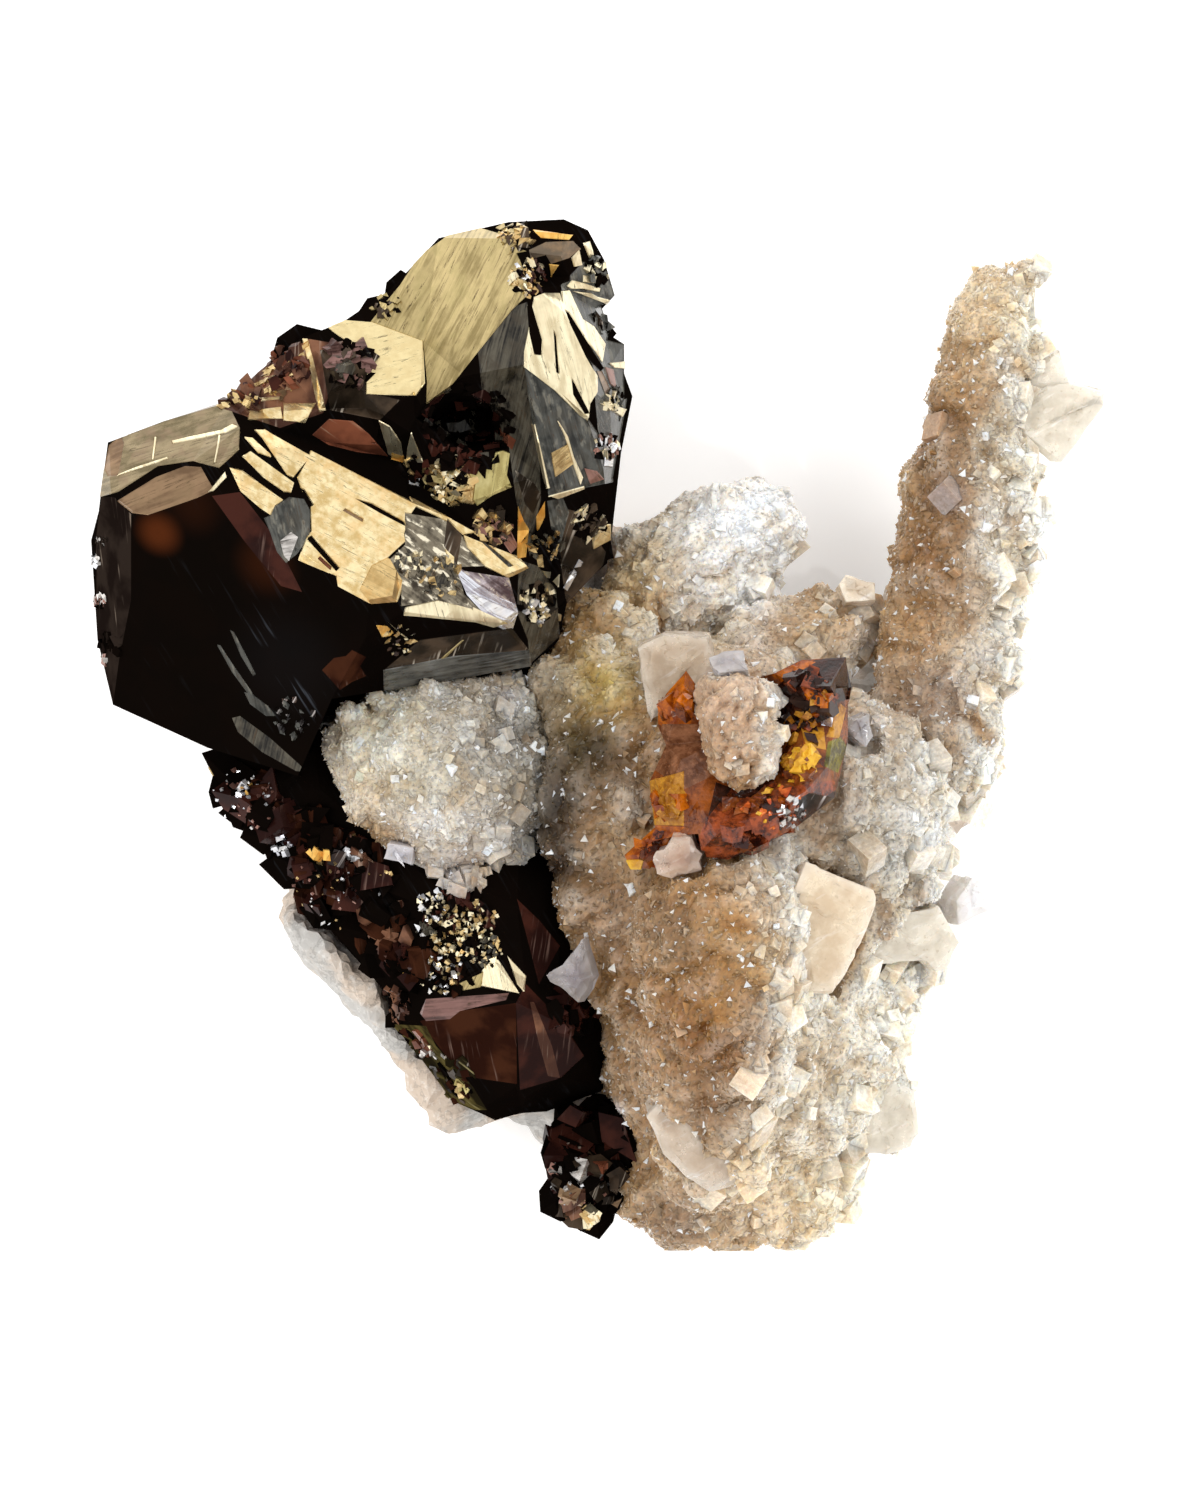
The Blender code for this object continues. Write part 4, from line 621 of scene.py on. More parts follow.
amberGroup = {
    "node": "sphalerite_amber", "piece": "amberCrystals", "slot": "amber_sphalerite",
    "base": "amberBrown", "unseen": "amberBrown",
    "within": [(686, 640), (760, 640), (846, 655), (850, 690), (848, 740), (840, 775), (837, 800), (800, 840),
               (740, 870), (690, 872), (600, 890), (600, 640)],
    "faces": [
        ("amberOrange",
         [(687, 669), (693, 674), (699, 692), (691, 722), (686, 733), (657, 724), (655, 711), (666, 688)]),
        ("amberRose", [(662, 724), (700, 724), (712, 776), (683, 790), (655, 770)]),
        ("amberHoney", [(648, 781), (684, 771), (684, 826), (653, 825)]),
        ("amberOrange", [(644, 835), (652, 825), (685, 827), (666, 843), (652, 862), (622, 859)]),
        ("amberYellow", [(624, 860), (644, 859), (641, 871), (628, 870)]),
        ("amberRed",
         [(697, 843), (706, 819), (720, 801), (727, 786), (745, 794), (834, 780), (836, 789), (791, 830),
          (763, 846), (745, 856), (720, 862), (696, 856)]),
        ("amberDark", [(716, 782), (732, 788), (708, 817)]),
        ("amberFire", [(751, 809), (774, 791), (792, 787), (787, 798), (763, 815)]),
        # painted glints: this yellow one and the white one below
        ("amberYellow", [(728, 834), (743, 825), (747, 841), (734, 846)]),
        ("whiteGlint", [(790, 800), (800, 795), (797, 806), (791, 811)]),
        ("nightFace",
         [(797, 800), (809, 793), (826, 796), (836, 790), (834, 800), (816, 812), (802, 823), (794, 814)]),
        ("roseFace", [(776, 805), (792, 826), (776, 829)]),
        ("amberDark",
         [(775, 690), (790, 672), (815, 660), (852, 655), (856, 690), (846, 700), (826, 706), (820, 718),
          (790, 735), (775, 730)]),
        ("amberOrange",
         [(771, 675), (802, 660), (816, 662), (791, 677), (781, 682)],
         [(815, 686), (822, 682), (835, 694), (825, 702)]),
        ("amberYellow", [(785, 755), (810, 746), (817, 772), (799, 779), (785, 777)]),
        ("amberHoney",
         [(800, 725), (824, 728), (826, 750), (806, 746)],
         [(840, 703), (846, 708), (839, 738), (826, 737), (831, 724)]),
        ("amberOlive", [(828, 742), (841, 737), (847, 747), (838, 773), (824, 766)]),
        ("blueFace", [(820, 710), (834, 707), (832, 727), (821, 725)]),
        ("amberYellow", [(772, 700), (777, 699), (778, 705), (773, 706)]),
    ],
    "chips": [
        ((760, 820), 34, 60, 1.5, "amberRed amberDark amberRed amberBrown"),
        ((770, 800), 30, 26, 0.5, "amberFire amberOrange amberYellow"),
        ((800, 765), 18, 40, 0.9, "amberHoney amberBrown amberYellow"),
        ((805, 700), 26, 70, 1.4, "amberDark amberDark amberDark amberRed nightFace"),
        ((815, 700), 14, 16, 0.7, "amberOrange amberHoney nightFace"),
        ((800, 728), 16, 24, 0.8, "amberHoney amberRed amberDark"),
        ((668, 800), 16, 24, 1.2, "amberHoney amberHoney amberOrange"),
        ((676, 705), 16, 16, 1.0, "amberOrange amberBrown"),
        ((655, 845), 14, 20, 0.9, "amberOrange amberRed amberBrown"),
        ((790, 812), 14, 24, 0.5, "whiteGlint greyFace amberRed"),
    ],
}
stepHeight = {  # how far the steps of a finish stand out; negative ones are sunk
    "goldFace": 0.09, "paleFace": 0.08, "strawFace": 0.05, "brightFace": 0.06, "whiteGlint": 0.05,
    "orangeFace": 0.05, "chipFace": 0.07, "russetFace": 0.04, "slateFace": -0.05, "tanFace": -0.04,
    "oliveFace": 0.04, "roseFace": 0.06, "umberFace": -0.04, "oliveSquare": 0.08, "blueFace": 0.04,
    "bandFace": 0.04, "amberYellow": 0.08, "amberFire": 0.06, "amberHoney": 0.05,
}
crystalLook = {
    "weld": 0.002,        # corners closer than this are joined
    "flatAngle": 1.5,     # degrees up to which faces count as one
    "edgeWidth": 0.08,    # width of the fine bevel on crystal edges
    "edgeAngle": 22,      # degrees from which an edge is bevelled
    "stepWidth": 0.05,    # slope of a growth step
    "sinkDepth": 2.6,     # how far a trimmed margin sinks
    "hiddenDepth": 0.3,   # a point this far behind what the camera sees counts as hidden
    "towardsCorner": 0.8,  # where between centre and corner a face is tested for being seen
    "leastFacing": 0.02,  # smallest upward part of the normal of a face that is cut
    "underside": -0.5,    # faces that look further down than this don't sink
    "cutMargin": 0.3,     # pixels round a side of an outline in which faces are cut
    "cutSnap": 0.0001,    # a cut this close to a corner goes through it
}
chipLook = {
    "lean": 0.30,         # how far small crystals tilt
    "root": 0.6,          # how deep they are rooted, as a share of their size
    "taper": 0.25,        # how much narrower the root is
    "corners": (3, 4, 4, 5),
    "unevenness": 0.25,   # how unevenly the corners stand round the top
    "spread": (0.5, 1.3), "stretch": (1.0, 1.8),  # least and greatest size and length
    "reach": (0.38, 0.56), "height": (0.05, 0.35),  # half width and height, as shares of the size
    "circle": 6.28,       # radians round a strewn place
}


def insideOutline(px, py, outline):
    inside = False
    for index, (ax, ay) in enumerate(outline):
        bx, by = outline[index - 1]
        if (ay > py) != (by > py) and px < (bx - ax) * (py - ay) / (by - ay) + ax:
            inside = not inside
    return inside


def facesUnder(faces, low, high):
    # faces turned to the viewer whose pixels meet a box of pixels
    found = []
    for face in faces:
        if face.normal.z > crystalLook["leastFacing"]:
            spots = [pixelOf(vert.co) for vert in face.verts]
            if all(min(spot[axis] for spot in spots) < high[axis] and max(spot[axis] for spot in spots) > low[axis]
                   for axis in (0, 1)):
                found.append(face)
    return found


def cutOutline(bm, outline):
    # cut the crystal faces along an outline in pixels and return those near it
    margin = crystalLook["cutMargin"]
    near = facesUnder(bm.faces, [min(axis) for axis in zip(*outline)], [max(axis) for axis in zip(*outline)])
    for index, last in enumerate(outline):
        first = outline[index - 1]
        eye, way = pixelRay(*first)
        across = way.cross(pixelRay(*last)[1]).normalized()
        crossed = facesUnder(near, [min(pair) - margin for pair in zip(first, last)],
                             [max(pair) + margin for pair in zip(first, last)])
        parts = {part for face in crossed for part in [face, *face.edges, *face.verts]}
        cut = bmesh.ops.bisect_plane(bm, geom=list(parts), dist=crystalLook["cutSnap"] * mm, plane_co=eye,
                                     plane_no=across)
        fresh = {part for part in cut["geom"] if isinstance(part, bmesh.types.BMFace)}
        near = [face for face in fresh.union(near) if face.is_valid]
        for face in near:
            face.normal_update()
    return near


def isSeen(tree, point):
    # whether the camera sees a point of the surface
    place = castPixel(tree, *pixelOf(point))[0]
    return place is not None and (place - point).length < crystalLook["hiddenDepth"] * mm


def paintOutline(bm, tree, outline, finish):
    # give what is seen inside an outline in pixels a finish
    for face in cutOutline(bm, outline):
        centre = face.calc_center_median_weighted()
        if insideOutline(*pixelOf(centre), outline) and isSeen(tree, centre):
            face.material_index = finish


def sinkOutside(bm, outline):
    # cut along an outline in pixels and let what lies outside it sink under the neighbouring druse
    cutOutline(bm, outline)
    for vert in bm.verts:
        if vert.normal.z > crystalLook["underside"] and not insideOutline(*pixelOf(vert.co), outline):
            vert.co.z = max(vert.co.z - crystalLook["sinkDepth"] * mm, cadBox[0][2])


def addPrism(bm, top, bottom, finish):
    # a closed block between two rings of points
    upper = [bm.verts.new(spot) for spot in top]
    lower = [bm.verts.new(spot) for spot in bottom]
    sides = [bm.faces.new(upper), bm.faces.new(list(reversed(lower)))]
    for index in range(len(upper)):
        after = (index + 1) % len(upper)
        sides.append(bm.faces.new([upper[after], upper[index], lower[index], lower[after]]))
    for face in sides:
        face.material_index = finish


def addChip(bm, place, normal, size, finish, rng):
    # a small block with a tilted top, rooted in what it sits on
    up = (normal + Vector([rng.gauss(0, chipLook["lean"]) for _ in range(3)])).normalized()
    side = up.cross(Vector([rng.gauss(0, 1) for _ in range(3)])).normalized()
    back = up.cross(side)
    count = rng.choice(chipLook["corners"])
    long = rng.uniform(*chipLook["stretch"])
    height = size * rng.uniform(*chipLook["height"]) * mm
    top, bottom = [], []
    for corner in range(count):
        angle = 2 * math.pi * (corner + rng.uniform(-chipLook["unevenness"], chipLook["unevenness"])) / count
        reach = size * rng.uniform(*chipLook["reach"]) * mm
        spot = place + side * math.cos(angle) * reach * long + back * math.sin(angle) * reach
        top.append(spot + up * height)
        bottom.append(spot + (place - spot) * chipLook["taper"] - up * size * chipLook["root"] * mm)
    addPrism(bm, top, bottom, finish)


def placePiece(name, mesh, materials, nodeName):
    # a piece that stands for a CAD node
    for material in materials:
        mesh.materials.append(material)
    made = bpy.data.objects.new(name, mesh)
    bpy.context.scene.collection.objects.link(made)
    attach(made, "root")
    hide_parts(nodeName)
    print(name, len(mesh.polygons), "faces")


def finishObject(name, bm, materials, nodeName):
    # turn a bmesh into a piece that stays in the box of the CAD part
    for vert in bm.verts:
        for axis in range(3):
            vert.co[axis] = min(max(vert.co[axis], cadBox[0][axis]), cadBox[1][axis])
    bmesh.ops.recalc_face_normals(bm, faces=bm.faces)
    mesh = bpy.data.meshes.new(name)
    bm.to_mesh(mesh)
    bm.free()
    placePiece(name, mesh, materials, nodeName)
    return mesh


def mergeFlat(bm, **options):
    bmesh.ops.dissolve_limit(bm, angle_limit=math.radians(crystalLook["flatAngle"]), verts=bm.verts,
                             edges=bm.edges, **options)


def crystalBody(nodeName):
    # the CAD solid with its crystal edges finely bevelled
    bm = bmesh.new()
    bm.from_mesh(nodes[nodeName].data)
    bmesh.ops.remove_doubles(bm, verts=bm.verts, dist=crystalLook["weld"] * mm)
    mergeFlat(bm)
    least = math.radians(crystalLook["edgeAngle"])
    sharp = [edge for edge in bm.edges if edge.is_manifold and edge.calc_face_angle(0) > least]
    bmesh.ops.bevel(bm, geom=sharp, offset=crystalLook["edgeWidth"] * mm, segments=1, affect="EDGES",
                    clamp_overlap=True)
    bmesh.ops.triangulate(bm, faces=bm.faces)
    bm.normal_update()
    return bm


def buildCrystals(group, rng):
    faceNames = [finish for finish, *_ in group["faces"]]
    chipNames = [name for entry in group["chips"] for name in entry[-1].split()]
    names = list(dict.fromkeys([group["base"], group["unseen"]] + faceNames + chipNames))
    bm = crystalBody(group["node"])
    tree = BVHTree.FromBMesh(bm)
    for face in bm.faces:
        centre = face.calc_center_median_weighted()
        spots = [centre] + [centre.lerp(vert.co, crystalLook["towardsCorner"]) for vert in face.verts]
        seen = any(isSeen(tree, spot) for spot in spots)
        face.material_index = names.index(group["base"] if seen else group["unseen"])
    for finish, *outlines in group["faces"]:
        for outline in outlines:
            paintOutline(bm, tree, outline, names.index(finish))
    if "within" in group:
        sinkOutside(bm, group["within"])
    mergeFlat(bm, delimit={"MATERIAL"})
    for finish, height in stepHeight.items():
        if finish in names:
            raised = [face for face in bm.faces if face.material_index == names.index(finish)]
            bmesh.ops.inset_region(bm, faces=raised, thickness=crystalLook["stepWidth"] * mm, depth=height * mm,
                                   use_boundary=True)
    for (px, py), radius, count, size, choices in group["chips"]:
        tree = BVHTree.FromBMesh(bm)
        for _ in range(count):
            angle, reach = rng.uniform(0, chipLook["circle"]), radius * math.sqrt(rng.random())
            place, normal = castPixel(tree, px + reach * math.cos(angle), py + reach * math.sin(angle))
            if place:
                chipSize = size * rng.uniform(*chipLook["spread"])
                addChip(bm, place, normal, chipSize, names.index(rng.choice(choices.split())), rng)
    bmesh.ops.triangulate(bm, faces=bm.faces)
    finishObject(group["piece"], bm, [finishes[name] for name in names], group["node"])


rng = random.Random(21)  # used by the calcites too, after the groups
for group in (mainGroup, lowerGroup, footGroup, amberGroup):
    buildCrystals(group, rng)

# Druse: colours, with painted light on the sides facing right, their share on creases and crests, with
# painted shade in the creases, and stains by pixel, radius in pixels, colour and strength, among which are
# painted shade in gaps and painted light where the druse lies in shadow
druseLook = {
    "tan": (0.33, 0.19, 0.082),           # upper and left sides: brown, also standing for painted shade on the left
    "frost": (0.80, 0.76, 0.67),          # right-hand sides: pale frosted crystal, painted lighter as if lit from the right
    "frostAndLightWay": (0.9, 0.1), "frostAndLightShift": 0.12,  # the way in plan that the frosted, painted-lit sides face
    "white": (0.78, 0.73, 0.66), "darkBelow": 0.15,  # a colour darker than this takes less white
    # painted shade that darkens the creases between lumps
    "hollow": (0.52, 0.40, 0.26), "crease": 1.2, "creaseBelow": 0.1, "creaseMost": 0.8,
    "crest": 0.3, "crestAbove": 0.25, "crestMost": 0.5,
    "brightest": 0.95,
    # stains, with painted shade in the dark gaps and painted light where the druse lies in shadow
    "stainsAndPaintedLight": [
        ((700, 1000), 70, (0.261, 0.125, 0.039), 0.8), ((722, 1045), 40, (0.171, 0.065, 0.012), 0.85),
        ((735, 920), 44, (0.414, 0.224, 0.078), 0.75), ((600, 900), 42, (0.234, 0.146, 0.082), 0.75),
        ((725, 1010), 22, (0.432, 0.232, 0.07), 0.5), ((758, 1062), 18, (0.468, 0.327, 0.211), 0.7),
        ((710, 1087), 10, (0.45, 0.31, 0.195), 0.7), ((660, 930), 30, (0.378, 0.241, 0.125), 0.6),
        ((640, 1080), 40, (0.378, 0.258, 0.164), 0.6), ((605, 680), 40, (0.486, 0.353, 0.101), 0.8),
        ((620, 840), 40, (0.414, 0.292, 0.179), 0.6), ((585, 740), 26, (0.18, 0.129, 0.055), 0.8),
        ((570, 1010), 24, (0.198, 0.112, 0.062), 0.8), ((870, 740), 34, (0.8, 0.74, 0.68), 0.8),
        ((960, 620), 40, (0.45, 0.31, 0.187), 0.6), ((565, 720), 34, (0.198, 0.138, 0.047), 0.8),
        ((580, 790), 35, (0.306, 0.224, 0.14), 0.6), ((690, 1190), 45, (0.8, 0.62, 0.42), 0.6),
        ((760, 1210), 60, (0.92, 0.74, 0.5), 0.75), ((830, 1200), 40, (0.95, 0.8, 0.56), 0.75),
        ((880, 850), 60, (0.62, 0.58, 0.5), 0.7), ((900, 760), 45, (0.468, 0.421, 0.359), 0.7),
        ((850, 1030), 45, (0.84, 0.77, 0.64), 0.7), ((940, 840), 50, (0.84, 0.82, 0.77), 0.7),
        ((925, 960), 45, (0.7, 0.68, 0.63), 0.6), ((890, 1050), 60, (0.78, 0.72, 0.6), 0.6),
        ((800, 1160), 45, (0.8, 0.68, 0.5), 0.6), ((720, 1130), 40, (0.36, 0.249, 0.156), 0.7),
        ((614, 1112), 9, (0.75, 0.7, 0.72), 0.9), ((948, 468), 52, (0.21, 0.105, 0.038), 0.9),
        ((957, 395), 36, (0.42, 0.25, 0.11), 0.8), ((985, 300), 50, (0.9, 0.76, 0.55), 0.8),
        ((930, 650), 50, (0.46, 0.28, 0.14), 0.8), ((1015, 450), 42, (0.8, 0.74, 0.6), 0.75),
        ((985, 660), 40, (0.76, 0.74, 0.67), 0.6), ((1020, 330), 30, (0.86, 0.79, 0.62), 0.7),
        ((898, 480), 22, (0.6, 0.43, 0.26), 0.7), ((947, 498), 13, (0.62, 0.56, 0.58), 0.95),
        ((935, 430), 13, (0.66, 0.52, 0.4), 0.7), ((370, 740), 60, (1.0, 0.93, 0.76), 0.95),
        ((432, 785), 46, (0.48, 0.44, 0.345), 0.8), ((502, 734), 46, (0.11, 0.1, 0.09), 0.92),
        ((508, 695), 14, (0.414, 0.361, 0.359), 0.6), ((520, 780), 30, (0.36, 0.31, 0.234), 0.7),
        ((440, 835), 34, (0.86, 0.82, 0.76), 0.85), ((455, 880), 20, (0.468, 0.378, 0.328), 0.9),
        ((515, 830), 30, (0.56, 0.5, 0.44), 0.8), ((550, 680), 30, (0.396, 0.344, 0.257), 0.7),
        ((632, 575), 42, (0.62, 0.45, 0.23), 0.85), ((665, 530), 40, (0.7, 0.6, 0.42), 0.6),
        ((740, 585), 34, (0.86, 0.8, 0.7), 0.85), ((720, 520), 60, (0.95, 0.93, 0.88), 0.95),
        ((770, 510), 46, (0.94, 0.95, 0.95), 0.95), ((735, 710), 60, (0.49, 0.355, 0.26), 0.85),
        ((830, 620), 40, (0.58, 0.42, 0.26), 0.7), ((880, 600), 30, (0.468, 0.301, 0.156), 0.6),
        ((975, 325), 30, (0.52, 0.34, 0.17), 0.75), ((936, 560), 38, (0.31, 0.17, 0.08), 0.85),
        ((902, 505), 22, (0.56, 0.37, 0.2), 0.8), ((1030, 400), 26, (0.86, 0.8, 0.68), 0.7),
        ((1010, 560), 40, (0.82, 0.77, 0.66), 0.7), ((548, 765), 22, (0.07, 0.05, 0.03), 0.92),
        ((556, 835), 18, (0.09, 0.06, 0.04), 0.85), ((602, 745), 18, (0.13, 0.095, 0.045), 0.7),
        ((880, 1100), 80, (0.84, 0.79, 0.68), 0.6), ((885, 835), 55, (0.52, 0.48, 0.42), 0.65),
        ((680, 950), 26, (0.24, 0.15, 0.07), 0.6), ((770, 960), 30, (0.46, 0.3, 0.14), 0.6),
        ((558, 800), 32, (0.02, 0.012, 0.008), 0.97), ((556, 866), 30, (0.02, 0.012, 0.008), 0.97),
        ((612, 768), 36, (0.12, 0.075, 0.045), 0.7), ((666, 925), 36, (0.16, 0.085, 0.04), 0.6),
        ((708, 1105), 34, (0.22, 0.12, 0.055), 0.7), ((676, 1218), 40, (0.17, 0.095, 0.05), 0.8),
        ((735, 1222), 40, (0.45, 0.31, 0.2), 0.6), ((928, 520), 36, (0.2, 0.1, 0.035), 0.8),
        ((936, 420), 36, (0.21, 0.11, 0.045), 0.8), ((934, 582), 32, (0.22, 0.11, 0.035), 0.7),
        ((1024, 425), 38, (0.56, 0.47, 0.36), 0.6), ((936, 694), 34, (0.42, 0.33, 0.27), 0.8),
        ((818, 640), 32, (0.38, 0.24, 0.12), 0.7), ((728, 592), 42, (0.97, 0.96, 0.93), 0.9),
        ((712, 634), 24, (0.66, 0.54, 0.38), 0.8), ((610, 528), 26, (0.8, 0.76, 0.68), 0.8),
        ((392, 706), 30, (0.97, 0.88, 0.7), 0.9), ((455, 706), 34, (0.68, 0.65, 0.58), 0.8),
        ((346, 786), 24, (0.94, 0.8, 0.62), 0.9), ((445, 876), 26, (0.2, 0.165, 0.145), 0.8),
        ((822, 1056), 30, (0.5, 0.4, 0.29), 0.6), ((612, 926), 30, (0.4, 0.27, 0.175), 0.7),
        ((541, 818), 26, (0.02, 0.014, 0.008), 0.9), ((584, 752), 28, (0.035, 0.024, 0.008), 0.85),
        ((518, 800), 24, (0.28, 0.23, 0.17), 0.7),
    ],
}
druseGrain = {
    "fixed": {"IOR": 1.54, "Subsurface Weight": 0.5, "Subsurface Scale": 0.0012,
              "Subsurface Radius": (1.0, 0.7, 0.45), "Specular IOR Level": 0.3},
    "fine": (0.3, 3.0, 0.6), "patch": (2.6, 5.0, 0.62),
    "lightFrom": (0.52, 0.66), "light": (1.25, 1.22, 1.16),
    "shadeFrom": (0.34, 0.48), "shadeShare": 0.35, "shade": (0.62, 0.50, 0.36),
    "dullFrom": (0.34, 0.58), "dullShare": 0.6, "dull": (0.74, 0.60, 0.42),
    "clearFrom": (0.54, 0.72), "clear": (1.16, 1.16, 1.18),
    "rough": 0.10, "roughSpread": 0.16, "relief": (0.06, 0.6),
}


def mixRows(first, second, share):
    return first + (second - first) * share[:, None]


def whitened(rows, share):
    # towards white, but dark stains and painted shade stay dark
    light = np.clip(rows.mean(axis=1) / druseLook["darkBelow"], 0, 1)
    return mixRows(rows, np.array(druseLook["white"]), share * light)


def nearness(pixels, centre, radius):
    # 1 at a pixel, falling off softly with the radius
    return np.exp(-(np.linalg.norm(pixels - np.array(centre), axis=1) / radius) ** 2)


def druseColours(points, normals):
    # colour by place, with stains, painted shade and painted light, and by the way the surface faces, which paints
    # light on the sides facing right, as linear RGB rows
    side, far = druseLook["frostAndLightWay"]
    # sides facing right are painted lighter, as if lit
    share = np.clip(normals[:, 0] * side + normals[:, 1] * far + druseLook["frostAndLightShift"], 0, 1)
    rows = np.tile(np.array(druseLook["tan"]), (len(points), 1))
    rows = mixRows(rows, np.array(druseLook["frost"]), share * share * (3 - 2 * share))
    pixels = pixelsOf(points)
    for centre, radius, colour, strength in druseLook["stainsAndPaintedLight"]:
        rows = mixRows(rows, np.array(colour), strength * nearness(pixels, centre, radius))
    return rows


def druseFinish(name):
    grain = druseGrain
    made, shader, start = newFinish(name, grain["fixed"])
    fine = clouds(start, *grain["fine"])
    patch = clouds(start, *grain["patch"])
    # the colour of each point, with stains, painted shade and painted light
    colour = start.node("Attribute", {"attribute_name": "pointColour"}, output="Color")
    for mask, tone in ((fine.smooth(*grain["lightFrom"]), "light"),
                       ((1 - fine.smooth(*grain["shadeFrom"])) * grain["shadeShare"], "shade"),
                       ((1 - patch.smooth(*grain["dullFrom"])) * grain["dullShare"], "dull"),
                       (patch.smooth(*grain["clearFrom"]), "clear")):
        colour = mask.blend(colour, grain[tone], "MULTIPLY")
    return closeFinish(made, shader, colour, fine * grain["roughSpread"] + grain["rough"], fine, grain["relief"])


druse = druseFinish("quartzDruse")

# Each druse lobe: how far its skin lies inside the CAD surface, voxel of the skin, spacing and size of the fine
# grains, share of lumps, count and size of the blocks that stand out of the right-hand side, of smaller bits
# there and of crumbs on top, depth of shade in the creases, and single crystals by pixel and size.
# skirt: druse that has spread from the lobe over the crystals that carry it, within an outline in pixels
druseLobes = {
    "quartz_body": {
        "piece": "druseBody", "inset": 0.15, "voxel": 0.44, "spacing": 0.46, "size": 0.34, "lumps": 0.9,
        "blocks": 210, "blockSize": (0.8, 2.1), "bits": 520, "bitSize": (0.35, 0.9), "crumbs": 140, "shade": 0.9,
        "singles": [((875, 980), 1.6), ((899, 997), 1.6), ((920, 1011), 1.6), ((990, 753), 2.4),
                    ((1003, 740), 2.0), ((946, 905), 1.6), ((935, 800), 1.4), ((930, 975), 1.6),
                    ((960, 790), 1.6), ((614, 1112), 1.3)]},
    "quartz_finger": {
        "piece": "druseArm", "inset": 0.10, "voxel": 0.36, "spacing": 0.38, "size": 0.32, "lumps": 0.75,
        "blocks": 170, "blockSize": (0.7, 2.0), "bits": 300, "bitSize": (0.35, 0.8), "crumbs": 70, "shade": 0.9,
        "singles": [((947, 498), 2.0), ((935, 430), 1.8), ((1039, 508), 1.8), ((1035, 470), 1.6),
                    ((1030, 556), 1.6), ((1040, 300), 1.6), ((1045, 440), 1.6), ((1042, 600), 1.6),
                    ((1015, 660), 1.6)]},
    "quartz_ball": {
        "piece": "druseBall", "inset": 0.0, "voxel": 0.32, "spacing": 0.36, "size": 0.34, "lumps": 0.5,
        "blocks": 40, "blockSize": (0.6, 1.5), "bits": 220, "bitSize": (0.35, 0.8), "crumbs": 110, "shade": 0.7,
        "singles": [((377, 693), 1.0), ((510, 768), 1.1), ((515, 790), 1.2), ((500, 832), 1.3),
                    ((520, 815), 1.4), ((497, 855), 1.4), ((500, 745), 1.2), ((505, 715), 1.0)],
        "skirt": {"on": "sphalerite_lower", "count": 420, "size": (0.4, 1.3),
                  "outline": [(380, 820), (440, 850), (500, 820), (515, 770), (538, 800), (545, 838),
                              (522, 862), (500, 862), (478, 885), (455, 893), (430, 872), (412, 852)]}},
    "quartz_knob": {
        "piece": "druseKnob", "inset": 0.35, "voxel": 0.42, "spacing": 0.44, "size": 0.30, "lumps": 1.1,
        "blocks": 14, "blockSize": (0.8, 1.8), "bits": 70, "bitSize": (0.4, 0.9), "crumbs": 30, "shade": 0.35,
        "singles": [((770, 590), 1.8), ((735, 475), 1.5)]},
    "quartz_egg": {
        "piece": "druseEgg", "inset": 0.25, "voxel": 0.24, "spacing": 0.55, "size": 0.26, "lumps": 1.0,
        "blocks": 4, "blockSize": (0.5, 1.0), "bits": 14, "bitSize": (0.3, 0.6), "crumbs": 10, "shade": 0.9,
        "singles": [((742, 770), 0.9), ((730, 765), 0.8), ((738, 764), 0.7)]},
}
skinLook = {  # of the druse lobes and the rock
    "lumpSizes": ((3.4, 0.75), (1.6, 0.38), (0.75, 0.16)),  # size of the rounded lumps and how far they swell
    "weld": 0.002, "softenings": 4,
    "swell": 2.4, "sink": 0.4,  # how steeply a lump rises and how deep the creases between lumps lie
    "most": 0.6,                # greatest swelling
    "foot": 0.4,                # height of the foot that stays as it is
}


def evaluated(obj):
    # the mesh of an object with its modifiers applied
    bpy.context.view_layer.update()
    mesh = bpy.data.meshes.new_from_object(obj.evaluated_get(bpy.context.evaluated_depsgraph_get()))
    bpy.data.objects.remove(obj, do_unlink=True)
    return mesh


def skinOf(nodeName, voxel, inset, lumps, seed):
    # the CAD solid melted to an even skin and swelled into rounded lumps with narrow creases between
    obj = bpy.data.objects.new("skin", nodes[nodeName].data.copy())
    bpy.context.scene.collection.objects.link(obj)
    for kind, settings in (("WELD", {"merge_threshold": skinLook["weld"] * mm}),
                           ("REMESH", {"mode": "VOXEL", "voxel_size": voxel * mm}),
                           ("SMOOTH", {"iterations": skinLook["softenings"]})):
        modifier = obj.modifiers.new(kind, kind)
        for name, value in settings.items():
            setattr(modifier, name, value)
    mesh = evaluated(obj)
    mesh.calc_loop_triangles()
    points = np.array([vert.co for vert in mesh.vertices])
    normals = np.array([vert.normal for vert in mesh.vertices])
    trios = np.array([trio.vertices for trio in mesh.loop_triangles])
    bpy.data.meshes.remove(mesh)
    rise = np.zeros(len(points))
    for size, height in skinLook["lumpSizes"]:
        waves = np.array([abs(noise.noise(Vector(row))) for row in points / (size * mm) + np.array((seed, 0, 0))])
        rise += height * (skinLook["swell"] * waves - skinLook["sink"])
    moves = np.minimum(rise * lumps - inset, skinLook["most"]) * mm
    moves[points[:, 2] < points[:, 2].min() + skinLook["foot"] * mm] = 0
    return points + normals * moves[:, None], normals, trios, rise


def unitRows(rows):
    tiny = 1e-9  # keeps a row of zeros from a division by zero
    return rows / np.maximum(np.linalg.norm(rows, axis=1), tiny)[:, None]


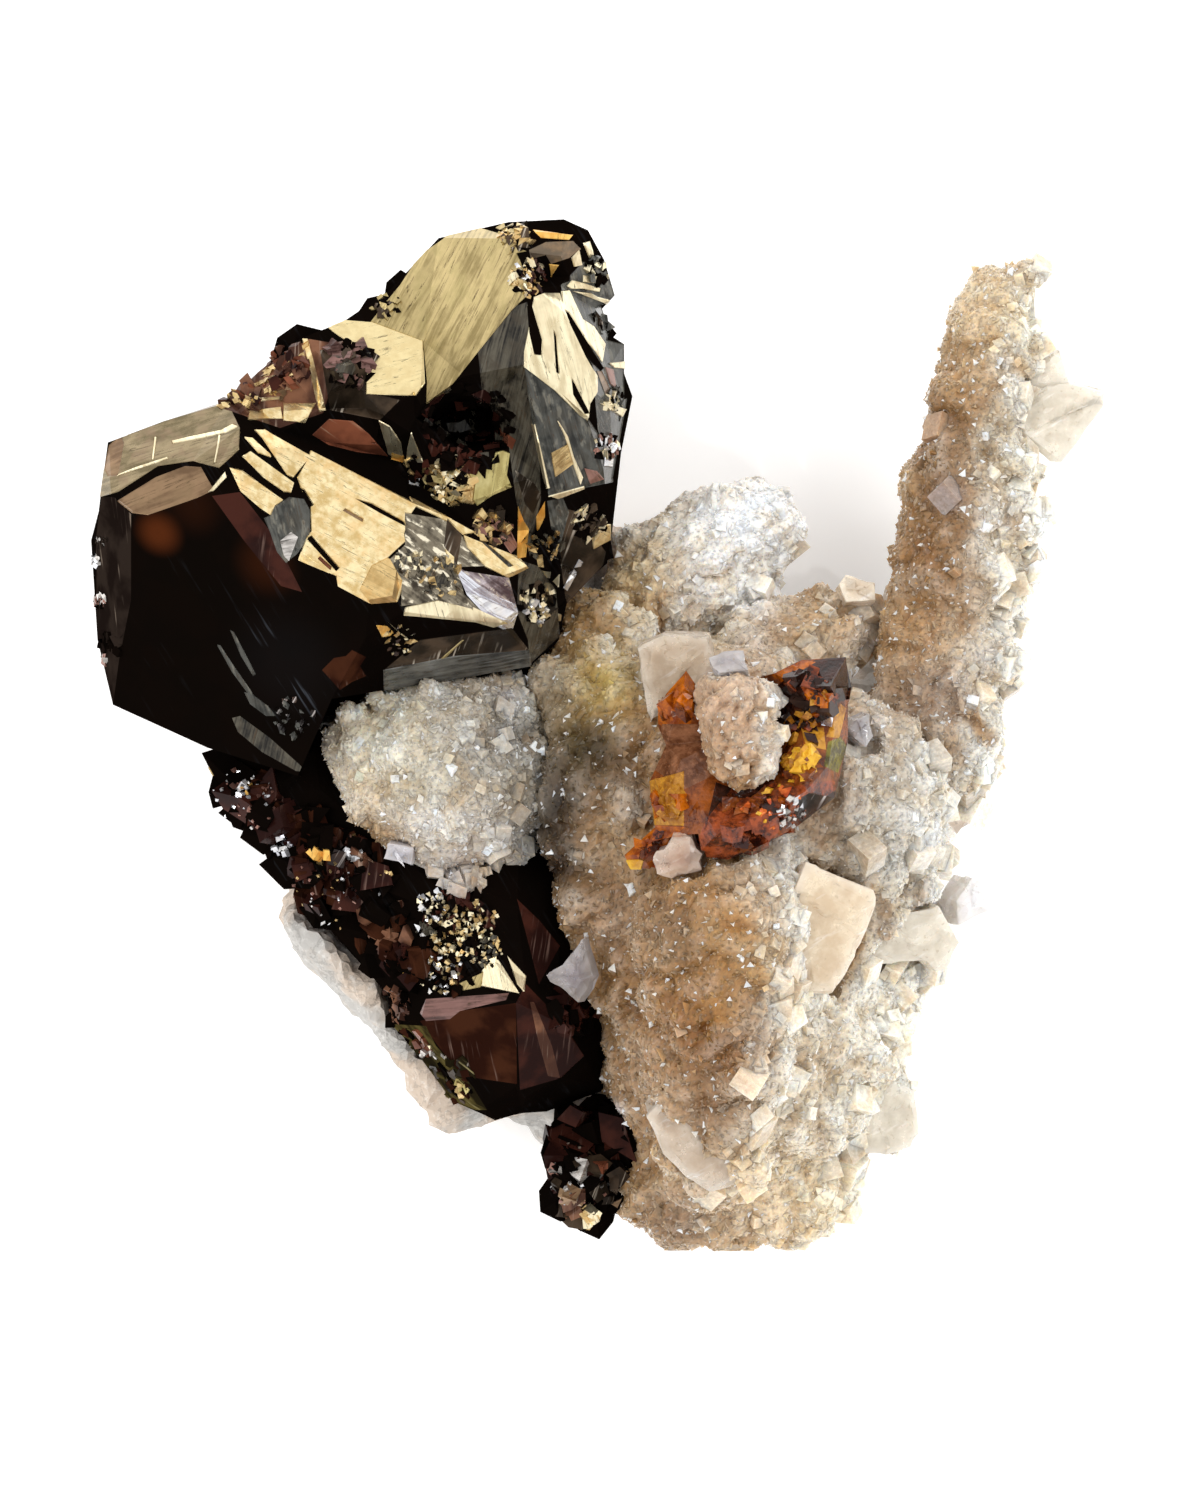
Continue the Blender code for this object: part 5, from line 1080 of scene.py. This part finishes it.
def spreadSpots(points, normals, trios, spacing, dice):
    # one random spot in each cell that the skin passes through
    corners = points[trios]
    areas = np.linalg.norm(np.cross(corners[:, 1] - corners[:, 0], corners[:, 2] - corners[:, 0]), axis=1) / 2
    count = int(areas.sum() / (spacing * mm) ** 2 * druseCrystals["triesForCell"])
    chosen = dice.choice(len(trios), count, p=areas / areas.sum())
    u, v = np.sqrt(dice.random(count)), dice.random(count)
    weights = np.stack([1 - u, u * (1 - v), u * v], axis=1)
    spots = (corners[chosen] * weights[:, :, None]).sum(axis=1)
    ways = unitRows((normals[trios[chosen]] * weights[:, :, None]).sum(axis=1))
    _, first = np.unique(np.floor(spots / (spacing * mm)).astype(int), axis=0, return_index=True)
    return spots[first], ways[first]


def turnedFrames(ways, lean, dice):
    # three axes for each crystal: the last one leans at random from the surface normal
    up = unitRows(ways + dice.normal(0, lean, ways.shape))
    side = unitRows(np.cross(up, dice.normal(0, 1, ways.shape)))
    return side, np.cross(up, side), up


grainShape = {  # a tiny long point
    "verts": [(1.0, 0, -0.8), (-0.5, 0.87, -0.8), (-0.5, -0.87, -0.8), (0.15, 0.1, 0.85)],
    "faces": [(0, 2, 1), (0, 1, 3), (1, 2, 3), (2, 0, 3)],
    "shade": [1.0, 1.0, 1.0, 1.05],
}
pointShape = {  # a stubby double point
    "verts": [(1, 0, 0), (0, 0.8, 0), (-1, 0, 0), (0, -0.8, 0), (0.12, 0.05, 1.1), (0, 0, -0.7)],
    "faces": [(0, 1, 4), (1, 2, 4), (2, 3, 4), (3, 0, 4), (1, 0, 5), (2, 1, 5), (3, 2, 5), (0, 3, 5)],
    "shade": [0.95, 0.95, 0.95, 0.95, 1.14, 0.85],
}
rhombShape = {  # a leaning block
    "verts": [(-1.13, -1.0, -1), (0.87, -1.0, -1), (1.13, 1.0, -1), (-0.87, 1.0, -1),
              (-1.0, -0.8, 1), (1.0, -0.8, 1), (1.26, 1.2, 1), (-0.74, 1.2, 1)],
    "faces": [(0, 3, 2), (0, 2, 1), (4, 5, 6), (4, 6, 7), (0, 1, 5), (0, 5, 4), (1, 2, 6), (1, 6, 5),
              (2, 3, 7), (2, 7, 6), (3, 0, 4), (3, 4, 7)],
    "shade": [0.9, 0.9, 0.9, 0.9, 1.04, 1.04, 1.04, 1.04],
}
# Crystals of the druse. lean: random tilt. lift: shift along the surface normal, as a share of the size.
# paleness: share of white.
druseCrystals = {
    "firstSeed": 31, "triesForCell": 6,
    "lowest": -0.85, "footGap": 0.5,         # no grains on undersides and in the first half millimetre
    "grainSpread": 0.35, "grain": {"lean": 0.8, "lift": 0.0, "paleness": 0.03},
    # least x, least z and greatest z of the surface normal on each side
    "sides": {"rim": (0.5, -0.6, 0.6), "right": (0.1, -0.5, 1.1), "top": (-1.1, 0.3, 1.1)},
    "kinds": [  # shape, side that it grows on, and names of its count and size in druseLobes
        (rhombShape, "rim", "blocks", "blockSize", {"lean": 0.3, "lift": -0.2, "paleness": 0.2}),
        (rhombShape, "right", "bits", "bitSize", {"lean": 0.5, "lift": -0.3, "paleness": 0.15}),
        (pointShape, "right", "bits", "bitSize", {"lean": 0.5, "lift": -0.15, "paleness": 0.1}),
        (rhombShape, "top", "crumbs", "bitSize", {"lean": 0.5, "lift": -0.38, "paleness": 0.04}),
    ],
    "smallShare": 1.6,                       # more than 1 makes small crystals more frequent than large ones
    "single": {"lean": 0.2, "lift": -0.3, "paleness": 0.2}, "skirt": {"lean": 0.5, "lift": 0.1, "paleness": 0.2},
    "proportions": (0.75, 1.2),              # least and greatest width, depth and height, as shares of the size
    "sparkles": 0.08, "sparkleBelow": 0.6, "sparkleGrowth": 1.3,  # share, size limit and growth of the crystals painted white as glints
    "glint": (1.0, 0.97, 0.92), "glintShare": 0.9,
    "palenessSpread": 0.1, "palest": 0.9, "speckle": 0.15,
}


def crystalsAt(shape, spots, ways, sizes, dice, lean, lift, paleness):
    # rows of points, faces and colours for many crystals at once
    look = druseCrystals
    side, back, up = turnedFrames(ways, lean, dice)
    verts = np.array(shape["verts"])
    paintedGlint = (dice.random(len(spots)) < look["sparkles"]) & (sizes < look["sparkleBelow"])
    sizes = sizes * np.where(paintedGlint, look["sparkleGrowth"], 1.0)
    reach = np.stack([sizes * dice.uniform(*look["proportions"], len(sizes)) for _ in range(3)], axis=1) * mm / 2
    rows = spots[:, None, :] + up[:, None, :] * (sizes * mm * lift)[:, None, None]
    for axis, way in enumerate((side, back, up)):
        rows = rows + way[:, None, :] * (verts[:, axis][None, :] * reach[:, axis][:, None])[:, :, None]
    faces = np.array(shape["faces"])[None] + (np.arange(len(spots)) * len(verts))[:, None, None]
    shares = np.clip(dice.normal(paleness, look["palenessSpread"], len(spots)), 0, look["palest"])
    colours = whitened(druseColours(spots, ways), shares) * dice.lognormal(0, look["speckle"], len(spots))[:, None]
    # crystals painted white as glints
    glints = np.full(paintedGlint.sum(), look["glintShare"])
    colours[paintedGlint] = mixRows(colours[paintedGlint], np.array(look["glint"]), glints)
    colours = colours[:, None, :] * np.array(shape["shade"])[None, :, None]
    return rows.reshape(-1, 3), faces.reshape(-1, 3), colours.reshape(-1, 3)


def crystalsOn(surface, singles, dice, **stance):
    # single blocks where pixels land on a surface
    hits = [(*castPixel(surface, *pixel), size) for pixel, size in singles]
    places, ways, sizes = (np.array(column) for column in zip(*[hit for hit in hits if hit[0]]))
    return crystalsAt(rhombShape, places, ways, sizes, dice, **stance)


def skirtOf(skirt, dice):
    # druse on the crystals that carry the lobe
    bm = bmesh.new()
    bm.from_mesh(nodes[skirt["on"]].data)
    carrier = BVHTree.FromBMesh(bm)
    bm.free()
    low, high = np.min(skirt["outline"], axis=0), np.max(skirt["outline"], axis=0)
    small, large = skirt["size"]
    singles = []
    while len(singles) < skirt["count"]:
        pixel = dice.uniform(low, high)
        if insideOutline(*pixel, skirt["outline"]):
            singles.append((pixel, small + (large - small) * dice.random() ** 2))
    return crystalsOn(carrier, singles, dice, **druseCrystals["skirt"])


def rowsToObject(name, parts, material, nodeName):
    # one joined mesh from rows of points, faces and colours
    starts = np.cumsum([0] + [len(points) for points, _, _ in parts])
    points = np.clip(np.concatenate([part[0] for part in parts]), np.array(cadBox[0]), np.array(cadBox[1]))
    faces = np.concatenate([part[1] + start for part, start in zip(parts, starts)])
    colours = np.clip(np.concatenate([part[2] for part in parts]), 0, druseLook["brightest"])
    mesh = bpy.data.meshes.new(name)
    mesh.from_pydata(points, [], faces)
    pointColour = mesh.attributes.new("pointColour", "FLOAT_COLOR", "POINT")
    pointColour.data.foreach_set("color", np.concatenate([colours, np.ones((len(colours), 1))], axis=1).ravel())
    placePiece(name, mesh, [material], nodeName)


def buildDruse(nodeName, look, seed):
    dice = np.random.default_rng(seed)
    points, normals, trios, rise = skinOf(nodeName, look["voxel"], look["inset"], look["lumps"], seed)
    colours = druseColours(points, normals)
    # painted shade in the creases between lumps, and paler crests
    crease = (druseLook["creaseBelow"] - rise) * druseLook["crease"] * look["shade"]
    crest = (rise - druseLook["crestAbove"]) * druseLook["crest"]
    colours = mixRows(colours, colours * np.array(druseLook["hollow"]), np.clip(crease, 0, druseLook["creaseMost"]))
    parts = [(points, trios, whitened(colours, np.clip(crest, 0, druseLook["crestMost"])))]
    spots, ways = spreadSpots(points, normals, trios, look["spacing"], dice)
    lowest = points[:, 2].min() + druseCrystals["footGap"] * mm
    keep = (ways[:, 2] > druseCrystals["lowest"]) & (spots[:, 2] > lowest)
    spots, ways = spots[keep], ways[keep]
    sizes = look["size"] * dice.lognormal(0, druseCrystals["grainSpread"], len(spots))
    parts.append(crystalsAt(grainShape, spots, ways, sizes, dice, **druseCrystals["grain"]))
    sides = {side: np.flatnonzero((ways[:, 0] > leastX) & (ways[:, 2] > leastZ) & (ways[:, 2] < mostZ))
             for side, (leastX, leastZ, mostZ) in druseCrystals["sides"].items()}
    for shape, side, countName, sizeName, stance in druseCrystals["kinds"]:
        chosen = dice.choice(sides[side], min(look[countName], len(sides[side])), replace=False)
        small, large = look[sizeName]
        sizes = small + (large - small) * dice.random(len(chosen)) ** druseCrystals["smallShare"]
        parts.append(crystalsAt(shape, spots[chosen], ways[chosen], sizes, dice, **stance))
    surface = BVHTree.FromPolygons(points.tolist(), trios.tolist())
    parts.append(crystalsOn(surface, look["singles"], dice, **druseCrystals["single"]))
    if "skirt" in look:
        parts.append(skirtOf(look["skirt"], dice))
    rowsToObject(look["piece"], parts, druse, nodeName)


for seed, (nodeName, look) in enumerate(druseLobes.items(), druseCrystals["firstSeed"]):
    buildDruse(nodeName, look, seed)

# Calcite crystals. Tones: pale and deep colour, and how much light goes through.
calciteTones = {
    "cream": ((0.70, 0.585, 0.43), (0.58, 0.45, 0.31), 0.1),
    "pearl": ((0.76, 0.70, 0.59), (0.58, 0.52, 0.42), 0.15),
    "frost": ((0.88, 0.86, 0.87), (0.72, 0.69, 0.70), 0.2),
    "mist": ((0.40, 0.36, 0.38), (0.24, 0.20, 0.20), 0.5),
    "rose": ((0.69, 0.57, 0.45), (0.54, 0.42, 0.31), 0.3),
    "ice": ((0.62, 0.60, 0.63), (0.40, 0.37, 0.39), 0.45),
    "smoke": ((0.46, 0.44, 0.50), (0.30, 0.29, 0.33), 0.2),
    "fawn": ((0.62, 0.50, 0.37), (0.47, 0.36, 0.25), 0.3),
    "blush": ((0.60, 0.43, 0.32), (0.44, 0.27, 0.185), 0.35),
}
# Tone, share of the CAD crystal's depth where it isn't all of it, and outline in pixels on the plane of its front
calcites = {
    "calcite_large": {"tone": "cream", "outline": [
        (806, 861), (875, 889), (876, 905), (867, 930), (854, 958), (834, 993), (806, 992), (797, 960),
        (788, 930), (789, 904)]},
    "calcite_seat": {"tone": "fawn", "outline": [
        (637, 648), (663, 634), (708, 637), (716, 668), (700, 700), (660, 714), (650, 724), (641, 680)]},
    "calcite_right": {"tone": "pearl", "outline": [
        (866, 944), (885, 916), (939, 906), (949, 924), (961, 942), (946, 970), (936, 971), (926, 962),
        (870, 965)]},
    "calcite_tablet": {"tone": "frost", "outline": [
        (956, 901), (972, 877), (982, 881), (988, 911), (959, 925)]},
    "calcite_blade": {"tone": "rose", "outline": [
        (685, 1091), (663, 1098), (647, 1117), (663, 1154), (687, 1178), (710, 1192), (733, 1186), (742, 1172),
        (728, 1148), (704, 1138), (694, 1116)]},
    "calcite_fan": {"tone": "pearl", "outline": [
        (804, 1111), (848, 1089), (877, 1094), (862, 1118), (862, 1148), (838, 1133), (821, 1128)]},
    "calcite_edge": {"tone": "pearl", "outline": [
        (862, 1118), (880, 1090), (894, 1080), (915, 1092), (919, 1133), (911, 1147), (887, 1155), (862, 1155),
        (858, 1145)]},
    "calcite_wing": {"tone": "mist", "deep": 0.35, "outline": [
        (544, 975), (553, 970), (562, 965), (571, 952), (582, 939), (587, 955), (593, 976), (588, 990),
        (578, 1003), (570, 996), (560, 987), (550, 982)]},
    "calcite_fin": {"tone": "pearl", "outline": [
        (1010, 402), (1047, 385), (1070, 384), (1104, 393), (1103, 406), (1086, 430), (1062, 462), (1050, 462),
        (1018, 434)]},
    "calcite_thorn": {"tone": "pearl", "outline": [
        (1026, 370), (1048, 358), (1060, 350), (1064, 364), (1070, 386), (1050, 394), (1026, 394)]},
    "calcite_cap": {"tone": "ice", "outline": [
        (709, 658), (724, 651), (743, 651), (748, 670), (720, 673), (713, 667)]},
    "calcite_pink": {"tone": "blush", "outline": [
        (672, 836), (691, 836), (696, 848), (703, 854), (699, 862), (702, 870), (686, 874), (672, 879),
        (657, 874), (652, 861), (657, 852), (664, 850)]},
    "calcite_lilac": {"tone": "ice", "outline": [
        (848, 729), (856, 719), (870, 713), (873, 736), (866, 747), (855, 738)]},
    "calcite_corner": {"tone": "smoke", "outline": [(382, 860), (388, 843), (414, 848), (412, 866)]},
    "calcite_crest": {"tone": "cream", "outline": [(839, 584), (846, 575), (875, 582), (876, 600), (846, 602)]},
}
calciteGrain = {
    "fixed": {"IOR": 1.4, "Subsurface Weight": 0.3, "Subsurface Scale": 0.002, "Subsurface Radius": (1.0, 0.8, 0.6)},
    "cloudy": (1.8, 5.0, 0.6), "veins": (3.0, 0.5, 3.0), "veinTurn": 30, "pits": (0.35, 3.0), "ripple": 0.6,
    "paleFrom": (0.35, 0.65), "rimShare": 0.3, "rimTone": (0.95, 0.90, 0.82),
    "veinFrom": (0.6, 0.75), "veinShare": 0.4, "veinTone": (0.95, 0.93, 0.9),
    "pitFrom": (0.3, 0.36), "pitShare": 0.5, "pitTone": (0.45, 0.36, 0.26),
    "rough": 0.1, "roughSpread": 0.3, "veinRelief": 0.5, "relief": (0.06, 0.5),
}
calciteShape = {
    "chamfer": (0.35, 1.1),                      # narrowest and widest chamfer round the front
    "crown": 0.34,                               # how far the front stands out
    "bevel": 0.10, "roundness": 0.6,
    "cell": 0.6, "splits": 4,                    # longest edge of the roughened faces and rounds of splitting
    "wave": 0.10, "waveSize": 1.2,
    "step": 0.12, "stepSize": 2.0, "stepAt": 0.08, "stepShift": (5, 0, 0),
    "rimWidth": 9.0,                             # pixels
}


def calciteFinish(name, pale, deep, through):
    grain = calciteGrain
    made, shader, start = newFinish(name, {"Transmission Weight": through, **grain["fixed"]})
    cloudy = clouds(start, *grain["cloudy"])
    veins = streaked(start, grain["veinTurn"], *grain["veins"])
    rim = start.node("Attribute", {"attribute_name": "rim"}, output="Fac")
    pits = 1 - clouds(start, *grain["pits"]).smooth(*grain["pitFrom"])
    colour = cloudy.smooth(*grain["paleFrom"]).blend(deep, pale)
    colour = (rim * grain["rimShare"]).blend(colour, grain["rimTone"])
    colour = (veins.smooth(*grain["veinFrom"]) * grain["veinShare"]).blend(colour, grain["veinTone"])
    colour = (pits * grain["pitShare"]).blend(colour, grain["pitTone"])
    height = veins * grain["veinRelief"] + clouds(start, grain["ripple"]) * (1 - grain["veinRelief"])
    return closeFinish(made, shader, colour, cloudy * grain["roughSpread"] + grain["rough"], height, grain["relief"])


calciteFinishes = {name: calciteFinish(name + "Calcite", *tone) for name, tone in calciteTones.items()}


def frontOf(nodeName):
    # centre and normal of a calcite block's front face, and the way from it down to the back
    mesh = nodes[nodeName].data
    points = [vert.co.copy() for vert in mesh.vertices]
    middle = (Vector(map(min, zip(*points))) + Vector(map(max, zip(*points)))) / 2
    facing = {}
    for face in mesh.polygons:
        key = tuple(round(value, 1) for value in face.normal)
        area, centre = facing.get(key, (0.0, Vector()))
        facing[key] = (area + face.area, centre + face.center * face.area)
    key, (area, centre) = max(facing.items(), key=lambda item: item[1][0] * item[0][2])
    centre = centre / area
    return centre, Vector(key).normalized(), (middle - centre) * 2


def rimShares(bm, outline):
    # 1 on the outline of a crystal's front, fading to 0 towards its middle
    points = pixelsOf(np.array([vert.co for vert in bm.verts]))
    nearest = np.full(len(points), np.inf)
    for index, last in enumerate(outline):
        first = np.array(outline[index - 1], dtype=float)
        way = np.array(last) - first
        along = np.clip((points - first) @ way / (way @ way), 0, 1)
        nearest = np.minimum(nearest, np.linalg.norm(points - first - along[:, None] * way, axis=1))
    return np.exp(-(nearest / calciteShape["rimWidth"]) ** 2)


def buildCalcite(nodeName, look):
    centre, normal, down = frontOf(nodeName)
    down = down * look.get("deep", 1.0)
    if down.dot(normal) > 0:
        down = -down
    bm = bmesh.new()
    top = []
    for pixel in look["outline"]:
        eye, way = pixelRay(*pixel)
        top.append(eye + way * ((centre - eye).dot(normal) / way.dot(normal)))
    addPrism(bm, top, [spot + down for spot in top], 0)
    bmesh.ops.recalc_face_normals(bm, faces=bm.faces)
    front = max(bm.faces, key=lambda face: face.calc_area() * face.normal.dot(normal))
    (narrow, broad), crown = calciteShape["chamfer"], calciteShape["crown"] * mm
    bmesh.ops.inset_region(bm, faces=[front], thickness=(narrow + broad) / 2 * mm, use_even_offset=True)
    for vert in front.verts:  # an uneven chamfer round the front
        slide = Vector([rng.uniform(-1, 1) for _ in range(3)]) * (broad - narrow) / 2 * mm
        vert.co += slide - normal * slide.dot(normal) + normal * crown
    bmesh.ops.bevel(bm, geom=list(bm.edges), offset=calciteShape["bevel"] * mm, segments=2,
                    profile=calciteShape["roundness"], affect="EDGES", clamp_overlap=True)
    bmesh.ops.triangulate(bm, faces=bm.faces)
    for _ in range(calciteShape["splits"]):
        long = [edge for edge in bm.edges if edge.calc_length() > calciteShape["cell"] * mm]
        bmesh.ops.subdivide_edges(bm, edges=long, cuts=1)
        bmesh.ops.triangulate(bm, faces=bm.faces)
    bm.normal_update()
    for vert in bm.verts:  # shallow waves and steps on the faces
        wave = noise.noise(vert.co / (calciteShape["waveSize"] * mm)) * calciteShape["wave"]
        ledge = noise.noise(vert.co / (calciteShape["stepSize"] * mm) + Vector(calciteShape["stepShift"]))
        step = calciteShape["step"] if ledge > calciteShape["stepAt"] else 0.0
        vert.co += vert.normal * (wave - step) * mm
    shares = rimShares(bm, look["outline"])
    name = nodeName.split("_")[1] + "Calcite"
    mesh = finishObject(name, bm, [calciteFinishes[look["tone"]]], nodeName)
    mesh.attributes.new("rim", "FLOAT", "POINT").data.foreach_set("value", shares)


for nodeName, look in calcites.items():
    buildCalcite(nodeName, look)

# Pale rock below everything
rockLook = {
    "voxel": 0.75, "inset": 0.15, "lumps": 0.8, "seed": 7,
    "flatBelow": 0.5,  # what is lower than this becomes the flat back
    "pulls": [((640, 490), 40, (-1.5, -4.5, 0.0)), ((300, 915), 55, (-2.0, 0.3, 0.0)),
              ((500, 1140), 45, (0.0, 1.1, 0.0))],  # pixel, radius in pixels and shift of what reaches too far
    "fixed": {"IOR": 1.5}, "pointColour": 0.8,
    "patch": (7.0, 4.0, 0.6), "vein": (6.0, 5.0, 0.7), "grit": (0.6, 5.0, 0.7),
    "greyFrom": (0.42, 0.58), "cream": (0.58, 0.475, 0.38), "grey": (0.48, 0.46, 0.43),
    "veinAt": 0.5, "veinWidth": (0.004, 0.02), "veinShare": 0.3, "veinTone": (0.12, 0.11, 0.10),
    "paleFrom": (0.52, 0.7), "paleShare": 0.4, "pale": (0.92, 0.90, 0.86),
    "pitFrom": (0.3, 0.42), "pitShare": 0.4, "pit": (0.34, 0.27, 0.2),
    "rough": 0.4, "roughSpread": 0.4, "patchRelief": 0.5, "relief": (0.2, 0.7),
}


def rockFinish(name, look):
    made, shader, start = newFinish(name, look["fixed"])
    patch = clouds(start, *look["patch"])
    grit = clouds(start, *look["grit"])
    veins = 1 - (clouds(start, *look["vein"]) - look["veinAt"]).unsigned().smooth(*look["veinWidth"])
    colour = patch.smooth(*look["greyFrom"]).blend(look["cream"], look["grey"])
    colour = (veins * look["veinShare"]).blend(colour, look["veinTone"])
    colour = (grit.smooth(*look["paleFrom"]) * look["paleShare"]).blend(colour, look["pale"])
    colour = ((1 - grit.smooth(*look["pitFrom"])) * look["pitShare"]).blend(colour, look["pit"])
    return closeFinish(made, shader, colour, grit * look["roughSpread"] + look["rough"],
                       grit + patch * look["patchRelief"], look["relief"])


def buildRock(look):
    points, _, trios, _ = skinOf("matrix_rock", look["voxel"], look["inset"], look["lumps"], look["seed"])
    pixels = pixelsOf(points)
    for centre, radius, shift in look["pulls"]:
        points += nearness(pixels, centre, radius)[:, None] * np.array(shift) * mm
    points[points[:, 2] < look["flatBelow"] * mm, 2] = cadBox[0][2]
    pointColour = np.full((len(points), 3), look["pointColour"])
    rowsToObject("matrixRock", [(points, trios, pointColour)], rockFinish("paleRock", look), "matrix_rock")


buildRock(rockLook)

# Camera, floor and light
studio = {
    "world": 1.05,
    "lamps": [  # place in metres, size, power, whether faces mirror it
        ((0.45, 0.30, 0.62), 0.40, 2.1, False),
        ((-0.45, 0.05, 0.62), 0.40, 1.8, False),
        ((-0.30, 0.42, 0.62), 0.010, 0.5, True),
        ((0.22, -0.36, 0.66), 0.010, 0.5, True),
    ],
    "white": (1.0, 1.0, 1.0, 1.0),
    "floor": (0.97, 0.97, 0.97, 1.0), "floorRough": 0.9, "floorSize": 3.0,
    "table": 0.18,  # the floor is lit a little from below
}


def standIn(name, data, place):
    # an object of the studio
    made = bpy.data.objects.new(name, data)
    made.location = place
    bpy.context.scene.collection.objects.link(made)
    return made


def buildStudio():
    camera = bpy.data.cameras.new("camera")
    camera.lens = viewpoint["lens"]
    camera.sensor_width = viewpoint["sensor"]
    bpy.context.scene.camera = standIn("camera", camera, viewpoint["eye"])
    world = bpy.data.worlds.new("softRoom")
    world.use_nodes = True
    background = world.node_tree.nodes["Background"]
    background.inputs["Color"].default_value = studio["white"]
    background.inputs["Strength"].default_value = studio["world"]
    bpy.context.scene.world = world
    for index, (place, size, power, mirrored) in enumerate(studio["lamps"]):
        lamp = bpy.data.lights.new("lamp%d" % index, "AREA")
        lamp.size = size
        lamp.energy = power
        stand = standIn("lamp%d" % index, lamp, place)
        stand.visible_glossy = mirrored
        stand.rotation_euler = Vector(place).to_track_quat("Z", "Y").to_euler()
    floor, _, _ = newFinish("paleFloor", {"Base Color": studio["floor"], "Roughness": studio["floorRough"],
                                          "Emission Color": studio["white"], "Emission Strength": studio["table"]})
    bm = bmesh.new()
    bmesh.ops.create_grid(bm, x_segments=1, y_segments=1, size=studio["floorSize"])
    mesh = bpy.data.meshes.new("floor")
    bm.to_mesh(mesh)
    bm.free()
    mesh.materials.append(floor)
    standIn("floor", mesh, (0, 0, cadBox[0][2]))
    bpy.context.scene.view_settings.view_transform = "Standard"


buildStudio()
print("studio ready")
